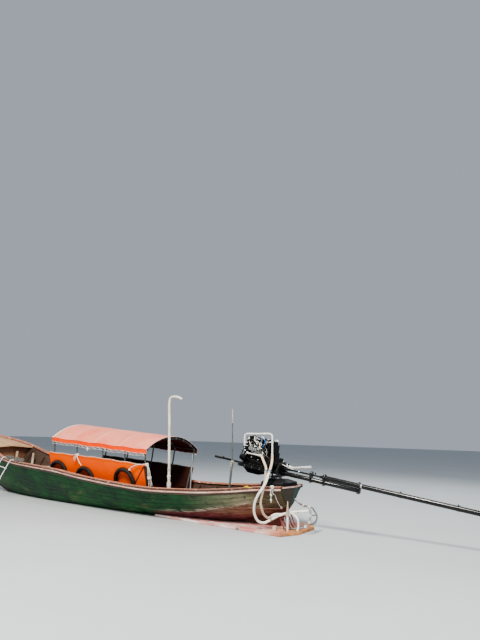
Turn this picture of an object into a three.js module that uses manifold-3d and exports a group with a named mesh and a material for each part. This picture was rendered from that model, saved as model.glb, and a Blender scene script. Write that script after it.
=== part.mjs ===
// A wooden longtail boat afloat: planked open hull, canopy, squat board and a tilting engine with its long
// propeller shaft. Millimetres, +X to the bow, +Y to port, +Z up, the waterline at z = 0.
// Inside the file x is measured from the aft edge of the squat board; the group moves it amidships.

import * as THREE from 'three';
import { mergeVertices } from 'three/addons/utils/BufferGeometryUtils.js';
import Module from 'manifold-3d';

const wasm = await Module();
wasm.setup();

// Driving dimensions
const AMIDSHIPS = 5200;        // origin, forward of the squat board's aft edge
const GAP = 0.3;               // clearance between pieces that touch
const PLANK = 28;              // planking thickness
const KEEL_HALF = 30;          // half thickness of keel and stem
const KEEL_INSIDE = 70;        // keel above the rabbet line
const KEEL_OUTSIDE = 60;       // keel below the rabbet line
const CAP_THICK = 35;          // gunwale cap
const CAP_INBOARD = 75;
const CAP_OUTBOARD = 42;
const STRAKE_THICK = 38;       // rub strake under the cap
const STRAKE_DEPTH = 85;
const STRAKE_BACK = 5;         // the strake's back lies this far off the curved planking
const RIB_DEEP = 50;
const RIB_WIDE = 45;
const FLOOR_TOP = 120;
const FLOOR_THICK = 25;
const DECK_THICK = 32;
const BOARD_TOP = 45;          // squat board
const BOARD_THICK = 40;
const STERN_DECK_TOP = 735;
const BED_TOP = 905;           // engine bed
const PLATFORM_TOP = 700;      // raised sole in the bow
const EAVE_HALF = 900;         // canopy
const COVER_THICK = 14;
const VALANCE = 95;
const PIPE = 17;               // radius of the canopy pipes
const TYRE_RADIUS = 310;
const TYRE_SECTION = 42;
const LEAN = 0.32;             // outward lean of side panels and tyres, per unit of height
const PANEL_Y = 860;           // middle of a side panel at PANEL_AT
const PANEL_AT = 1100;
const PANEL_THICK = 12;
const PANEL_FOOT = 500;
const PIVOT_X = 455;           // swivel and tilt axes of the engine
const PIVOT_Z = 1045;
const SHAFT_ANGLE = 8 * Math.PI / 180;
const CRANK_UP = 115;          // crank and bell housing above the tilt axis
const SHAFT_UP = 75;           // shaft line above the tilt axis
const SHAFT_RADIUS = 43;
const BARE_RADIUS = 16;        // shaft between its forward bearing and the tube
const BARE_SHAFT = [-960, -215];
const SUPPORT_RADIUS = 40;
const SUPPORT_DROP = 86;
const SHAFT_END = -4800;       // aft end of the shaft tube
const BLADE_RADIUS = 165;

const COLOURS = {
  paint: ['#4c5a38', 0.75, 0], tan: ['#a98a68', 0.8, 0], rail: ['#7a4a38', 0.7, 0],
  strake: ['#d9b9ac', 0.65, 0], dark: ['#3b2a22', 0.8, 0], black: ['#1b1c1e', 0.6, 0.2],
  orange: ['#f0641c', 0.7, 0], salmon: ['#ee9a86', 0.85, 0], rubber: ['#141414', 0.8, 0],
  steel: ['#5b5f63', 0.45, 0.8], white: ['#e9e7e0', 0.5, 0], cream: ['#e6cfb0', 0.6, 0],
  bronze: ['#9a7b45', 0.4, 0.9], red: ['#5e1f1a', 0.8, 0],
};

const group = new THREE.Group();
const materials = {};
for (const [name, [color, roughness, metalness]] of Object.entries(COLOURS)) {
  materials[name] = new THREE.MeshStandardMaterial({ color, roughness, metalness, name });
}

// Solids
function toSolid(geometry) {
  const bare = geometry.clone();
  bare.deleteAttribute('normal');
  bare.deleteAttribute('uv');
  const merged = mergeVertices(bare, 1e-4);
  return new wasm.Manifold(new wasm.Mesh({
    numProp: 3,
    vertProperties: new Float32Array(merged.attributes.position.array),
    triVerts: new Uint32Array(merged.index.array),
  }));
}

function toGeometry(solid) {
  const mesh = solid.getMesh();
  const geometry = new THREE.BufferGeometry();
  const positions = new Float32Array(mesh.numVert * 3);
  for (let i = 0; i < mesh.numVert; i++) {
    for (let k = 0; k < 3; k++) positions[3 * i + k] = mesh.vertProperties[mesh.numProp * i + k];
  }
  geometry.setAttribute('position', new THREE.BufferAttribute(positions, 3));
  geometry.setIndex(new THREE.BufferAttribute(new Uint32Array(mesh.triVerts), 1));
  return geometry;
}

function join(...parts) {
  return parts.map((p) => (p.isBufferGeometry ? toSolid(p) : p)).reduce((a, b) => a.add(b));
}

// A closed body through rings of [x, y, z] points; axes name the two columns in which an end is flat
function loft(rings, axes = [1, 2]) {
  const count = rings[0].length;
  const positions = rings.flat(2);
  const index = [];
  for (let r = 0; r + 1 < rings.length; r++) {
    for (let i = 0; i < count; i++) {
      const a = r * count + i;
      const b = r * count + (i + 1) % count;
      index.push(a, b, b + count, a, b + count, a + count);
    }
  }
  [0, rings.length - 1].forEach((r, end) => {
    // each point is a hair off, so that the triangulation drops none that lies in line with its neighbours
    const hair = (i) => 1e-4 * Math.sin(78 * i + 1);
    const outline = rings[r].map((p, i) => new THREE.Vector2(p[axes[0]] + hair(i), p[axes[1]] + hair(i + 7)));
    const turned = THREE.ShapeUtils.isClockWise(outline);
    const order = outline.map((_, i) => (turned ? count - 1 - i : i));
    for (const face of THREE.ShapeUtils.triangulateShape(order.map((i) => outline[i]), [])) {
      const [a, b, c] = face.map((i) => r * count + order[i]);
      if ((end === 0) === turned) index.push(a, b, c);
      else index.push(a, c, b);
    }
  });
  let volume = 0;
  const at = (i) => new THREE.Vector3(positions[3 * i], positions[3 * i + 1], positions[3 * i + 2]);
  for (let i = 0; i < index.length; i += 3) {
    volume += at(index[i]).dot(at(index[i + 1]).cross(at(index[i + 2])));
  }
  if (volume < 0) index.reverse();
  const geometry = new THREE.BufferGeometry();
  geometry.setAttribute('position', new THREE.BufferAttribute(new Float32Array(positions), 3));
  geometry.setIndex(index);
  return geometry;
}

function box(x0, x1, y0, y1, z0, z1) {
  const geometry = new THREE.BoxGeometry(x1 - x0, y1 - y0, z1 - z0);
  return geometry.translate((x0 + x1) / 2, (y0 + y1) / 2, (z0 + z1) / 2);
}

function rod(from, to, radius, sides = 10, endRadius = radius) {
  const a = new THREE.Vector3(...from);
  const b = new THREE.Vector3(...to);
  const geometry = new THREE.CylinderGeometry(endRadius, radius, a.distanceTo(b), sides);
  const turn = new THREE.Quaternion().setFromUnitVectors(
    new THREE.Vector3(0, 1, 0), b.clone().sub(a).normalize());
  return geometry.applyQuaternion(turn).translate(...a.add(b).multiplyScalar(0.5).toArray());
}

// A pipe through corner points, each corner rounded over the given length
function bentPipe(corners, radius, round = 60, sides = 8, steps = 4 * corners.length) {
  const points = corners.map((c) => new THREE.Vector3(...c));
  const path = new THREE.CurvePath();
  let from = points[0];
  for (let i = 1; i + 1 < points.length; i++) {
    const enter = points[i].clone().lerp(points[i - 1], round / points[i].distanceTo(points[i - 1]));
    const leave = points[i].clone().lerp(points[i + 1], round / points[i].distanceTo(points[i + 1]));
    path.add(new THREE.LineCurve3(from, enter));
    path.add(new THREE.QuadraticBezierCurve3(enter, points[i], leave));
    from = leave;
  }
  path.add(new THREE.LineCurve3(from, points.at(-1)));
  return sweep(path, radius, sides, steps);
}

function sweep(path, radius, sides, steps) {
  const section = new THREE.Shape(ring(radius, 0, 0, sides));
  return new THREE.ExtrudeGeometry(section, { steps, bevelEnabled: false, extrudePath: path });
}

function hose(points, radius, sides = 8, steps = 24) {
  const curve = new THREE.CatmullRomCurve3(points.map((p) => new THREE.Vector3(...p)), false, 'centripetal');
  return sweep(curve, radius, sides, steps);
}

function ring(radius, u, v, sides) {
  const points = [];
  for (let i = 0; i < sides; i++) {
    const angle = 2 * Math.PI * (i + 0.5) / sides;
    points.push(new THREE.Vector2(u + radius * Math.cos(angle), v + radius * Math.sin(angle)));
  }
  return points;
}

// A flat outline in y and z, with holes, given thickness along x
function plateAlongX(outline, holes, x0, x1) {
  const shape = new THREE.Shape(outline);
  for (const hole of holes) shape.holes.push(new THREE.Path(hole));
  const geometry = new THREE.ExtrudeGeometry(shape, { depth: x1 - x0, bevelEnabled: false });
  return geometry.rotateX(Math.PI / 2).rotateZ(Math.PI / 2).translate(x0, 0, 0);
}

// A flat outline in x and z, given thickness along y
function plateAlongY(outline, y0, y1) {
  const shape = new THREE.Shape(outline.map(([x, z]) => new THREE.Vector2(x, z)));
  const geometry = new THREE.ExtrudeGeometry(shape, { depth: y1 - y0, bevelEnabled: false });
  return geometry.rotateX(Math.PI / 2).translate(0, y1, 0);
}

function addPiece(name, material, shape, parent = group) {
  const geometry = shape.isBufferGeometry ? shape : toGeometry(shape);
  const mesh = new THREE.Mesh(geometry, materials[material]);
  mesh.name = name;
  parent.add(mesh);
  return mesh;
}

// Hull form. Columns: x, height of the planking's top edge, half beam there, height of the rabbet line
// at the keel, fullness of the section.
const STATIONS = [
  [0, 768, 420, 430, 0.80],
  [450, 748, 580, 270, 0.88],
  [950, 694, 730, 110, 0.94],
  [1350, 661, 820, 30, 0.98],
  [1900, 624, 900, -50, 1.00],
  [2900, 592, 990, -135, 1.00],
  [3800, 628, 1027, -180, 1.00],
  [4900, 701, 1040, -205, 1.00],
  [5900, 793, 1020, -210, 1.00],
  [6700, 833, 985, -200, 0.98],
  [7550, 876, 925, -160, 0.92],
  [8200, 952, 860, -95, 0.84],
  [8600, 1048, 810, -35, 0.78],
  [9200, 1232, 720, 100, 0.70],
  [9750, 1358, 620, 290, 0.62],
  [10150, 1440, 510, 500, 0.58],
  [10500, 1505, 390, 740, 0.55],
  [11000, 1620, 180, 1220, 0.50],
  [11200, 1675, 75, 1540, 0.50],
];
const SECTION_STEPS = 8;

function hullAt(x) {
  let i = STATIONS.findIndex((s) => s[0] > x) - 1;
  if (i === -2) i = STATIONS.length - 2;
  if (i < 0) i = 0;
  const [a, b] = [STATIONS[i], STATIONS[i + 1]];
  const t = (x - a[0]) / (b[0] - a[0]);
  const [sheer, beam, rabbet, full] = [1, 2, 3, 4].map((k) => a[k] + t * (b[k] - a[k]));
  return { sheer, beam, rabbet, full };
}

// The stern rakes and is slightly veed: sections near it move forward with depth and with breadth
function place(x, y, z) {
  const near = Math.min(1, Math.max(0, 1 - x / 1500));
  return [x + near * (60 + 0.15 * Math.abs(y) + 0.19 * (803 - z)), y, z];
}

// Point of a section at t (0 keel, 1 top edge), moved inboard along its normal
function skin(x, t, inset = 0) {
  const { sheer, beam, rabbet, full } = hullAt(x);
  const depth = sheer - rabbet;
  const y1 = 0.30 * full * beam;
  const y2 = 0.68 * (0.5 + 0.5 * full) * beam;
  const [z1, z2] = [0.04 * depth, 0.38 * depth];
  const s = 1 - t;
  const start = KEEL_HALF + GAP;
  const stretch = (beam - start) / beam;
  const y = start + stretch * (3 * s * s * t * y1 + 3 * s * t * t * y2 + t ** 3 * beam);
  const z = rabbet + 3 * s * s * t * z1 + 3 * s * t * t * z2 + t ** 3 * depth;
  const dy = stretch * (s * s * y1 + 2 * s * t * (y2 - y1) + t * t * (beam - y2));
  const dz = s * s * z1 + 2 * s * t * (z2 - z1) + t * t * (depth - z2);
  const length = Math.hypot(dy, dz);
  return [Math.max(start, y - inset * dz / length), Math.min(sheer, z + inset * dy / length)];
}

// Points of a section from keel to top edge, kept in rising order where the hull is narrow
function skinLine(x, inset, from = 0, to = 1, steps = SECTION_STEPS) {
  const line = Array.from({ length: steps + 1 }, (_, i) => skin(x, from + (to - from) * i / steps, inset));
  const step = 0.05;
  for (let i = 1; i <= steps; i++) {
    line[i] = [Math.max(line[i][0], line[i - 1][0] + step), Math.max(line[i][1], line[i - 1][1] + step)];
  }
  return line;
}

function stationsBetween(from, to) {
  return [from, ...STATIONS.map((s) => s[0]).filter((x) => x > from + 1 && x < to - 1), to];
}

const alongHull = (from, to, section) => loft(stationsBetween(from, to).map(
  (x) => section(x).map(([y, z]) => place(x, y, z))));
const onSide = (side, points) => points.map(([y, z]) => [side * y, z]);

// The whole space inside a skin moved inboard, open to nothing, with a notch over the keel
function insideSection(x, inset, notch, camber) {
  const { sheer, rabbet } = hullAt(x);
  const port = skinLine(x, inset);
  const top = camber ? [[0, sheer + camber]] : [];
  const foot = notch ? [[KEEL_HALF + notch / 2, rabbet + KEEL_INSIDE + notch]] : [];
  return [...foot, ...port, ...top, ...onSide(-1, [...foot, ...port].reverse())];
}
const inside = (from, to, inset, notch = GAP, camber = 0) => toSolid(
  alongHull(from, to, (x) => insideSection(x, inset, notch, camber)));

// Planking, transom, keel and stem
const TRANSOM_THICK = 35;
const BOW_END = 11200;
for (const [name, side] of [['port', 1], ['starboard', -1]]) {
  // both sides turn the same way round as the inside spaces, so that their facets match
  addPiece(`planking_${name}`, 'paint', alongHull(TRANSOM_THICK + GAP, BOW_END, (x) => {
    const section = onSide(side, [...skinLine(x, PLANK), ...skinLine(x, 0).reverse()]);
    return side > 0 ? section : section.reverse();
  }));
  addPiece(`gunwale_${name}`, 'rail', alongHull(0, BOW_END, (x) => {
    const { sheer, beam } = hullAt(x);
    const inner = Math.max(KEEL_HALF + GAP, beam - CAP_INBOARD);
    const outer = beam + CAP_OUTBOARD;
    const [low, high] = [sheer + GAP, sheer + CAP_THICK];
    return onSide(side, [[inner, low], [outer, low], [outer, high], [inner, high]]);
  }));
  addPiece(`rub_strake_${name}`, 'strake', alongHull(0, BOW_END, (x) => {
    const [top, low] = [skin(x, 1), skin(x, 1 - 1 / SECTION_STEPS)];
    const [dy, dz] = [low[0] - top[0], low[1] - top[1]];
    const length = Math.hypot(dy, dz);
    const down = Math.min(STRAKE_DEPTH / length, 0.97);
    const off = (t, out) => [top[0] + t * dy - out * dz / length, top[1] + t * dz + out * dy / length];
    const up = -0.9 / length;
    const section = onSide(side, [off(up, STRAKE_BACK), off(up, STRAKE_THICK), off(down, STRAKE_THICK),
      off(down, STRAKE_BACK)]);
    return side > 0 ? section.reverse() : section;
  }));
}
addPiece('transom', 'tan', join(...[1, -1].map((side) => alongHull(0, TRANSOM_THICK, (x) => {
  const { sheer, rabbet } = hullAt(x);
  return onSide(side, [[0, rabbet], ...skinLine(x, 0), [0, sheer]]);
}))));

const rabbetLine = (from, to, offset, ahead = 0) => stationsBetween(from, to).map((x) => {
  const [px, , pz] = place(x, 0, hullAt(x).rabbet + offset);
  return [px + ahead, pz];
});
const KEEL_JOINT = 10400;
const sternPost = [[114, 417], [150, 412], [235, 300], [310, 185], [355, 90], [385, -60]];
addPiece('keel', 'red', plateAlongY([
  ...sternPost, [900, -110],
  ...rabbetLine(1900, KEEL_JOINT, -KEEL_OUTSIDE),
  ...rabbetLine(260, KEEL_JOINT, KEEL_INSIDE).reverse(),
  [205, 417]], -KEEL_HALF, KEEL_HALF));
const prow = [[11300, 1560], [11420, 1860], [11600, 2230], [11830, 2640], [11960, 2850], [11740, 2900],
  [11600, 2640], [11370, 2230], [11190, 1900], [11090, 1660]];
addPiece('stem_post', 'rail', plateAlongY([
  ...rabbetLine(KEEL_JOINT + GAP, KEEL_JOINT + 1, -KEEL_OUTSIDE).slice(0, 1),
  ...rabbetLine(10500, 11000, -KEEL_OUTSIDE, 20), ...prow,
  ...rabbetLine(10500, 11000, KEEL_INSIDE, -30).reverse(),
  ...rabbetLine(KEEL_JOINT + GAP, KEEL_JOINT + 1, KEEL_INSIDE).slice(0, 1)], -KEEL_HALF, KEEL_HALF));

// Ribs tied by a stringer on each side
const RIBS = [650, 1250, 1850, 2450, 2950, 3350, 4150, 4600, 5250, 5600, 6220, 6800, 7400, 8000, 8600, 9100];
function ribbing(grow) {
  const parts = RIBS.map((x) => {
    const half = RIB_WIDE / 2 + grow;
    const section = (at) => {
      const { rabbet } = hullAt(at);
      const top = rabbet + KEEL_INSIDE + GAP - grow;
      const outer = [[KEEL_HALF + GAP - grow, top], ...skinLine(at, PLANK + GAP - grow, 0, 0.93, 6)];
      const inner = skinLine(at, PLANK + RIB_DEEP + grow, 0, 0.93, 6);
      inner[0] = [0, Math.max(inner[0][1], top + 40 + grow)];
      inner[1][1] = Math.max(inner[1][1], top + 30 + grow);
      return [...outer, ...inner.slice(1).reverse(), inner[0], ...onSide(-1, inner.slice(1)),
        ...onSide(-1, outer).reverse()];
    };
    return toSolid(loft([x - half, x + half].map((at) => section(x).map(([y, z]) => {
      const [px] = place(x, y, z);
      return [px + at - x, y, z];
    }))));
  });
  for (const side of [1, -1]) {
    parts.push(toSolid(alongHull(640, 9110, (x) => onSide(side, [
      skin(x, 0.56, PLANK + 10 - grow), skin(x, 0.62, PLANK + 10 - grow),
      skin(x, 0.62, PLANK + RIB_DEEP + 18 + grow), skin(x, 0.56, PLANK + RIB_DEEP + 18 + grow)]))));
  }
  return parts.reduce((a, b) => a.add(b));
}
const SPACE_END = 10500;
const skinSpace = inside(TRANSOM_THICK + GAP, SPACE_END, PLANK + GAP);
addPiece('ribs', 'dark', ribbing(0).intersect(skinSpace));
const ribSpace = ribbing(GAP);
const ribInner = inside(TRANSOM_THICK + GAP, SPACE_END, PLANK + RIB_DEEP + 2);

// Soles, decks and bulkhead
addPiece('floorboards', 'dark', toSolid(box(1500, 8600, -1200, 1200, FLOOR_TOP - FLOOR_THICK, FLOOR_TOP))
  .intersect(ribInner).subtract(ribSpace));
const sternDeck = toSolid(box(0, 640, -700, 700, STERN_DECK_TOP - DECK_THICK, STERN_DECK_TOP));
addPiece('stern_deck', 'tan', sternDeck.intersect(skinSpace).subtract(ribSpace));
const bitts = [[9000, -70, 1095], [8750, -430, 1050]]
  .map(([x, y, top]) => rod([x, y, PLATFORM_TOP - 10], [x, y, top], 32, 8));
addPiece('bow_platform', 'tan', join(
  toSolid(box(6900, 9250, -1200, 1200, PLATFORM_TOP - DECK_THICK, PLATFORM_TOP))
    .intersect(skinSpace).subtract(ribSpace), ...bitts));
const DECK_FROM = 9160;
const deckSlab = alongHull(DECK_FROM, BOW_END, (x) => {
  const { sheer, beam } = hullAt(x);
  const [low, high] = [sheer - DECK_THICK - 8, sheer - 8];
  const edge = Math.max(20, beam - CAP_INBOARD - 10);
  return [[-1200, low], [-edge, low], [0, low + 45], [edge, low], [1200, low], [1200, high], [edge, high],
    [0, high + 45], [-edge, high], [-1200, high]];
});
const stemSpace = toSolid(plateAlongY([[10300, 500], [11900, 500], [11900, 2900], [10300, 2900]],
  -KEEL_HALF - GAP, KEEL_HALF + GAP)).intersect(toSolid(plateAlongY([
  ...rabbetLine(10300, 11000, KEEL_INSIDE + 2, -32), [11088, 1660], [11188, 1902], [12500, 1900],
  [12500, 400]], -100, 100)));
addPiece('foredeck', 'tan', toSolid(deckSlab).intersect(inside(8600, 11000, PLANK + GAP, GAP, 120))
  .subtract(stemSpace));
const BULKHEAD = 9300;
addPiece('fore_bulkhead', 'dark', toSolid(alongHull(BULKHEAD, BULKHEAD + 25, (x) => {
  const { sheer, beam, rabbet } = hullAt(x);
  const top = sheer - DECK_THICK - 8 - GAP;
  const edge = beam - CAP_INBOARD - 10;
  return [[-1200, rabbet - 100], [1200, rabbet - 100], [1200, top], [edge, top], [0, top + 45],
    [-edge, top], [-1200, top]];
})).intersect(skinSpace).subtract(toSolid(deckSlab).translate([0, 0, -GAP]))
  .subtract(toSolid(box(9000, 9500, -40, 40, -400, hullAt(BULKHEAD).rabbet + 90))));

// Benches: a seat plank on two boards. Columns: name, middle x, half length, seat height, y of the boards
const BENCHES = [
  ['helm_bench', 1850, 430, 330, 200],
  ['bench_1', 3420, 540, 420, 330],
  ['bench_2', 4170, 540, 420, 330],
  ['bench_3', 5060, 540, 420, 330],
];
for (const [name, x, half, top, foot] of BENCHES) {
  addPiece(name, 'tan', join(box(x - 125, x + 125, -half, half, top - 28, top),
    ...[-1, 1].map((s) => box(x - 100, x + 100, s * foot - 13, s * foot + 13, FLOOR_TOP + GAP, top - 20))));
}

// Squat board around the foot of the hull. Columns: x, half breadth
const BOARD_EDGE = [[-180, 340], [0, 720], [840, 683], [1830, 600], [3060, 520]];
const boardShape = new THREE.Shape([...BOARD_EDGE, ...BOARD_EDGE.map(([x, y]) => [x, -y]).reverse()]
  .map(([x, y]) => new THREE.Vector2(x, y)));
const boardPlate = new THREE.ExtrudeGeometry(boardShape, { depth: BOARD_THICK, bevelEnabled: false })
  .translate(0, 0, BOARD_TOP - BOARD_THICK);
addPiece('squat_board', 'strake', toSolid(boardPlate).subtract(inside(450, 3800, -2, 0))
  .subtract(toSolid(box(363, 1900, -KEEL_HALF - GAP, KEEL_HALF + GAP, -100, 100))));

// Side panels, leaning outward. Columns: x, port top, starboard top
const PANEL_TOPS = [[3110, 1030, 935], [4500, 1115, 1005], [6280, 1180, 1080]];
const panelY = (z) => PANEL_Y - LEAN * (PANEL_AT - z);
PANEL_TOPS[0].slice(1).forEach((_, k) => {
  const side = k ? -1 : 1;
  addPiece(`side_panel_${k ? 'starboard' : 'port'}`, 'orange', loft(PANEL_TOPS.map((row) => {
    const top = row[k + 1];
    const foot = PANEL_FOOT;
    const half = PANEL_THICK / 2;
    return [[foot, -half], [foot, half], [top, half], [top, -half]].map(
      ([z, out]) => [row[0], side * (panelY(z) + out), z]);
  })));
});

// Canopy: an arched cover with a valance at each eave, on hoops whose legs stand on the floor
const COVER_REAR = { x: 3090, eave: 1357, rise: 282 };
const COVER_FRONT = { x: 6220, eave: 1538, rise: 335 };
function coverAt(x) {
  const t = (x - COVER_REAR.x) / (COVER_FRONT.x - COVER_REAR.x);
  const mix = (key) => COVER_REAR[key] + t * (COVER_FRONT[key] - COVER_REAR[key]);
  return { eave: mix('eave'), rise: mix('rise') };
}
function archLine(x, half, drop, steps) {
  const { eave, rise } = coverAt(x);
  return Array.from({ length: steps + 1 }, (_, i) => {
    const y = half * (1 - 2 * i / steps);
    return [y, eave + rise * (1 - (Math.abs(y) / EAVE_HALF) ** 2.2) - drop];
  });
}
addPiece('canopy_cover', 'salmon', loft([0, 1, 2, 3, 4].map((i) => {
  const x = COVER_REAR.x + i * (COVER_FRONT.x - COVER_REAR.x) / 4;
  const low = coverAt(x).eave - VALANCE;
  const [outer, inner] = [archLine(x, EAVE_HALF, 0, 14),
    archLine(x, EAVE_HALF - COVER_THICK, COVER_THICK, 14)];
  return [[EAVE_HALF, low], ...outer, [-EAVE_HALF, low], [-EAVE_HALF + COVER_THICK, low],
    ...inner.reverse(), [EAVE_HALF - COVER_THICK, low]].map(([y, z]) => [x, y, z]);
})));
const HOOPS = [3160, 3760, 4460, 5330, 6150];
const LEG_FOOT = 400;
const legY = (z) => panelY(z) - PANEL_THICK / 2 - 1.06 * PIPE - GAP;
function hoop(x) {
  const { eave } = coverAt(x);
  const drop = COVER_THICK + 1.25 * PIPE + 2.2;
  const arch = archLine(x, EAVE_HALF - COVER_THICK - PIPE - 6, drop, 10).map(([y, z]) => [x, y, z]);
  const parts = [bentPipe(arch, PIPE, 20, 6, 14)];
  for (const side of [1, -1]) {
    const knee = PANEL_AT - 60;
    const leg = [[LEG_FOOT, FLOOR_TOP + GAP + 0.55 * PIPE], [legY(PANEL_FOOT), PANEL_FOOT], [legY(knee), knee],
      [legY(knee) + 8, eave + 6]].map(([y, z]) => [x, side * y, z]);
    parts.push(bentPipe(leg, PIPE, 50, 6, 12));
  }
  return parts.map(toSolid).reduce((a, b) => a.add(b));
}
const railAt = (x, y) => [x, y,
  coverAt(x).eave + coverAt(x).rise * (1 - (Math.abs(y) / EAVE_HALF) ** 2.2) - COVER_THICK - PIPE - 30];
const rails = [820, -820, 0].map((y) => rod(railAt(3110, y), railAt(6200, y), 14, 6));
addPiece('canopy_frame', 'steel', join(...HOOPS.map(hoop), ...rails));

// Tyres leaning on the port panel. Columns: x, height of the middle
const TYRES = [[5960, 716], [5045, 618], [3780, 660]];
const tyreProfile = Array.from({ length: 8 }, (_, i) => {
  const a = 2 * Math.PI * i / 8 + Math.PI / 8;
  return new THREE.Vector2(TYRE_RADIUS - 46 + 46 * Math.cos(a), TYRE_SECTION * Math.sin(a));
});
TYRES.forEach(([x, z], i) => {
  const geometry = new THREE.LatheGeometry([...tyreProfile, tyreProfile[0]], 20);
  geometry.rotateX(-Math.atan(LEAN));
  const out = PANEL_THICK / 2 + (TYRE_SECTION * Math.sin(3 * Math.PI / 8) + GAP) * Math.hypot(1, LEAN);
  addPiece(`tyre_${i + 1}`, 'rubber', geometry.translate(x, panelY(z) + out, z));
});

// Poles at the port side
const capTop = (x) => hullAt(x).sheer + CAP_THICK + GAP;
const POLE_RADIUS = 26;
const poleY = hullAt(2440).beam - CAP_INBOARD - POLE_RADIUS - GAP;
addPiece('gooseneck_pole', 'white', bentPipe([[2440, poleY, 565], [2575, poleY, 2380], [2520, poleY, 2452],
  [2330, poleY, 2445], [2245, poleY, 2395]], POLE_RADIUS, 40, 8, 26));
addPiece('thin_post', 'steel', rod([1905, 850, capTop(1905) + 0.6], [1890, 850, 1300], 12, 6));
addPiece('stern_pole', 'tan', join(rod([1075, 725, capTop(950)], [1030, 725, 1235], 30, 8),
  rod([1034, 725, 1200], [1060, 725, 2190], 12, 6)));

// Boarding ladder hung outboard of the port gunwale
const ladderTop = [[7640, 1005, capTop(7640) + 10], [8050, 965, capTop(8050) + 10]];
const ladderFoot = [[7740, 1420, -60], [8150, 1370, -30]];
const mix = (a, b, t) => a.map((v, i) => v + t * (b[i] - v));
const ladderHooks = ladderTop.map((p, i) => bentPipe([[p[0] - 20, p[1] - 150, p[2] + 14], p,
  ladderFoot[i]], 15, 40, 6, 10));
addPiece('ladder', 'white', join(...ladderHooks, ...[0.2, 0.45, 0.7, 0.92].map((t) => rod(
  mix(ladderTop[0], ladderFoot[0], t), mix(ladderTop[1], ladderFoot[1], t), 13, 6))));

// Stern fittings: bed for the engine, guard hoops, white post and water pipes
const BED_HALF = 330;
const BED_FLAT = 115;          // half width of its level top
const BED_EDGE = BED_TOP - 55; // its sides
const bedSection = [[-BED_HALF, STERN_DECK_TOP], [BED_HALF, STERN_DECK_TOP], [BED_HALF, BED_EDGE],
  [BED_FLAT, BED_TOP], [-BED_FLAT, BED_TOP], [-BED_HALF, BED_EDGE]].map(([y, z]) => new THREE.Vector2(y, z));
addPiece('engine_bed', 'black', toSolid(plateAlongY([[166, STERN_DECK_TOP + GAP], [620, STERN_DECK_TOP + GAP],
  [620, 880], [585, BED_TOP], [262, BED_TOP], [166, 846]], -BED_HALF, BED_HALF))
  .intersect(toSolid(plateAlongX(bedSection, [], 100, 700))));
addPiece('stern_guard', 'steel', join(
  bentPipe([[60, 210, BOARD_TOP + 13], [-300, 210, 160], [-345, 200, 330], [-335, 190, 458], [-60, 60, 495],
    [50, 20, 560]], 13, 45, 6, 22),
  bentPipe([[60, -210, BOARD_TOP + 13], [-260, -210, 130], [-330, -160, 300], [-300, 0, 440], [-335, 190, 458]],
    12, 45, 6, 20),
  rod([-345, 200, 330], [-325, -155, 300], 11, 6)));
addPiece('white_post', 'white', rod([50, 330, BOARD_TOP + GAP], [47, 330, 545], 26, 10));

// Swivel that steers the engine, and the yoke that it tilts in
addPiece('swivel_base', 'steel', rod([PIVOT_X, 0, BED_TOP + GAP], [PIVOT_X, 0, BED_TOP + 30], 110, 20));
const YOKE_FOOT = BED_TOP + 30 + GAP;
const CHEEK = [246, 272];
const PIN_RADIUS = 22;
const cheekOutline = [[-60, YOKE_FOOT - PIVOT_Z], [60, YOKE_FOOT - PIVOT_Z], [45, 30], [20, 48], [-20, 48],
  [-45, 30]].map(([x, z]) => [PIVOT_X + x, PIVOT_Z + z]);
const yoke = join(
  box(PIVOT_X - 60, PIVOT_X + 60, -CHEEK[1], CHEEK[1], YOKE_FOOT, YOKE_FOOT + 25),
  ...[-1, 1].map((s) => plateAlongY(cheekOutline, Math.min(s * CHEEK[0], s * CHEEK[1]),
    Math.max(s * CHEEK[0], s * CHEEK[1]))))
  .subtract(toSolid(rod([PIVOT_X, -300, PIVOT_Z], [PIVOT_X, 300, PIVOT_Z], PIN_RADIUS + 0.6, 16)));
addPiece('swivel_yoke', 'steel', yoke);

// Engine, in a group turned to the line of the shaft: x forward along it, z square to it
const engine = new THREE.Group();
engine.position.set(PIVOT_X, 0, PIVOT_Z);
engine.rotation.y = -SHAFT_ANGLE;
group.add(engine);
const SIDES = 12;
const shaftRing = (radius) => ring(radius, 0, SHAFT_UP, SIDES);
const supportRing = (radius) => ring(radius, 0, SHAFT_UP - SUPPORT_DROP, SIDES);
const REAR_PLATE = [-125, -95];
const RAIL_Y = [200, 238];
const frameParts = [
  plateAlongX([[-238, -32], [-90, -62], [90, -62], [238, -32], [238, 30], [120, 185], [-120, 185], [-238, 30]]
    .map(([y, z]) => new THREE.Vector2(y, z)), [shaftRing(SHAFT_RADIUS + 0.5), supportRing(SUPPORT_RADIUS + 0.5)],
  ...REAR_PLATE),
  box(730, 765, -RAIL_Y[1], RAIL_Y[1], -32, 30),
  ...[-1, 1].flatMap((s) => {
    const [y0, y1] = s > 0 ? RAIL_Y : [-RAIL_Y[1], -RAIL_Y[0]];
    return [box(REAR_PLATE[0], 765, y0, y1, -32, 30),
      rod([0, s * 220, 0], [0, s * 284, 0], PIN_RADIUS, 16),
      ...[260, 600].map((x) => box(x - 30, x + 30, s > 0 ? 160 + GAP : -210, s > 0 ? 210 : -160 - GAP, -20, 25))];
  }),
];
addPiece('engine_frame', 'black', join(...frameParts), engine);
addPiece('bell_housing', 'black', new THREE.LatheGeometry([[0, -94.7], [80, -94.7], [112, 10], [185, 85],
  [185, 140], [0, 140]].map(([r, x]) => new THREE.Vector2(r, x)), 20)
  .rotateZ(-Math.PI / 2).rotateX(Math.PI).translate(0, 0, CRANK_UP), engine);
addPiece('engine_block', 'black', join(box(140 + GAP, 700, -160, 160, 20, 390),
  box(170, 680, -190, -159, 120, 300), box(200, 420, 150, 200, 210, 330)), engine);
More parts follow.
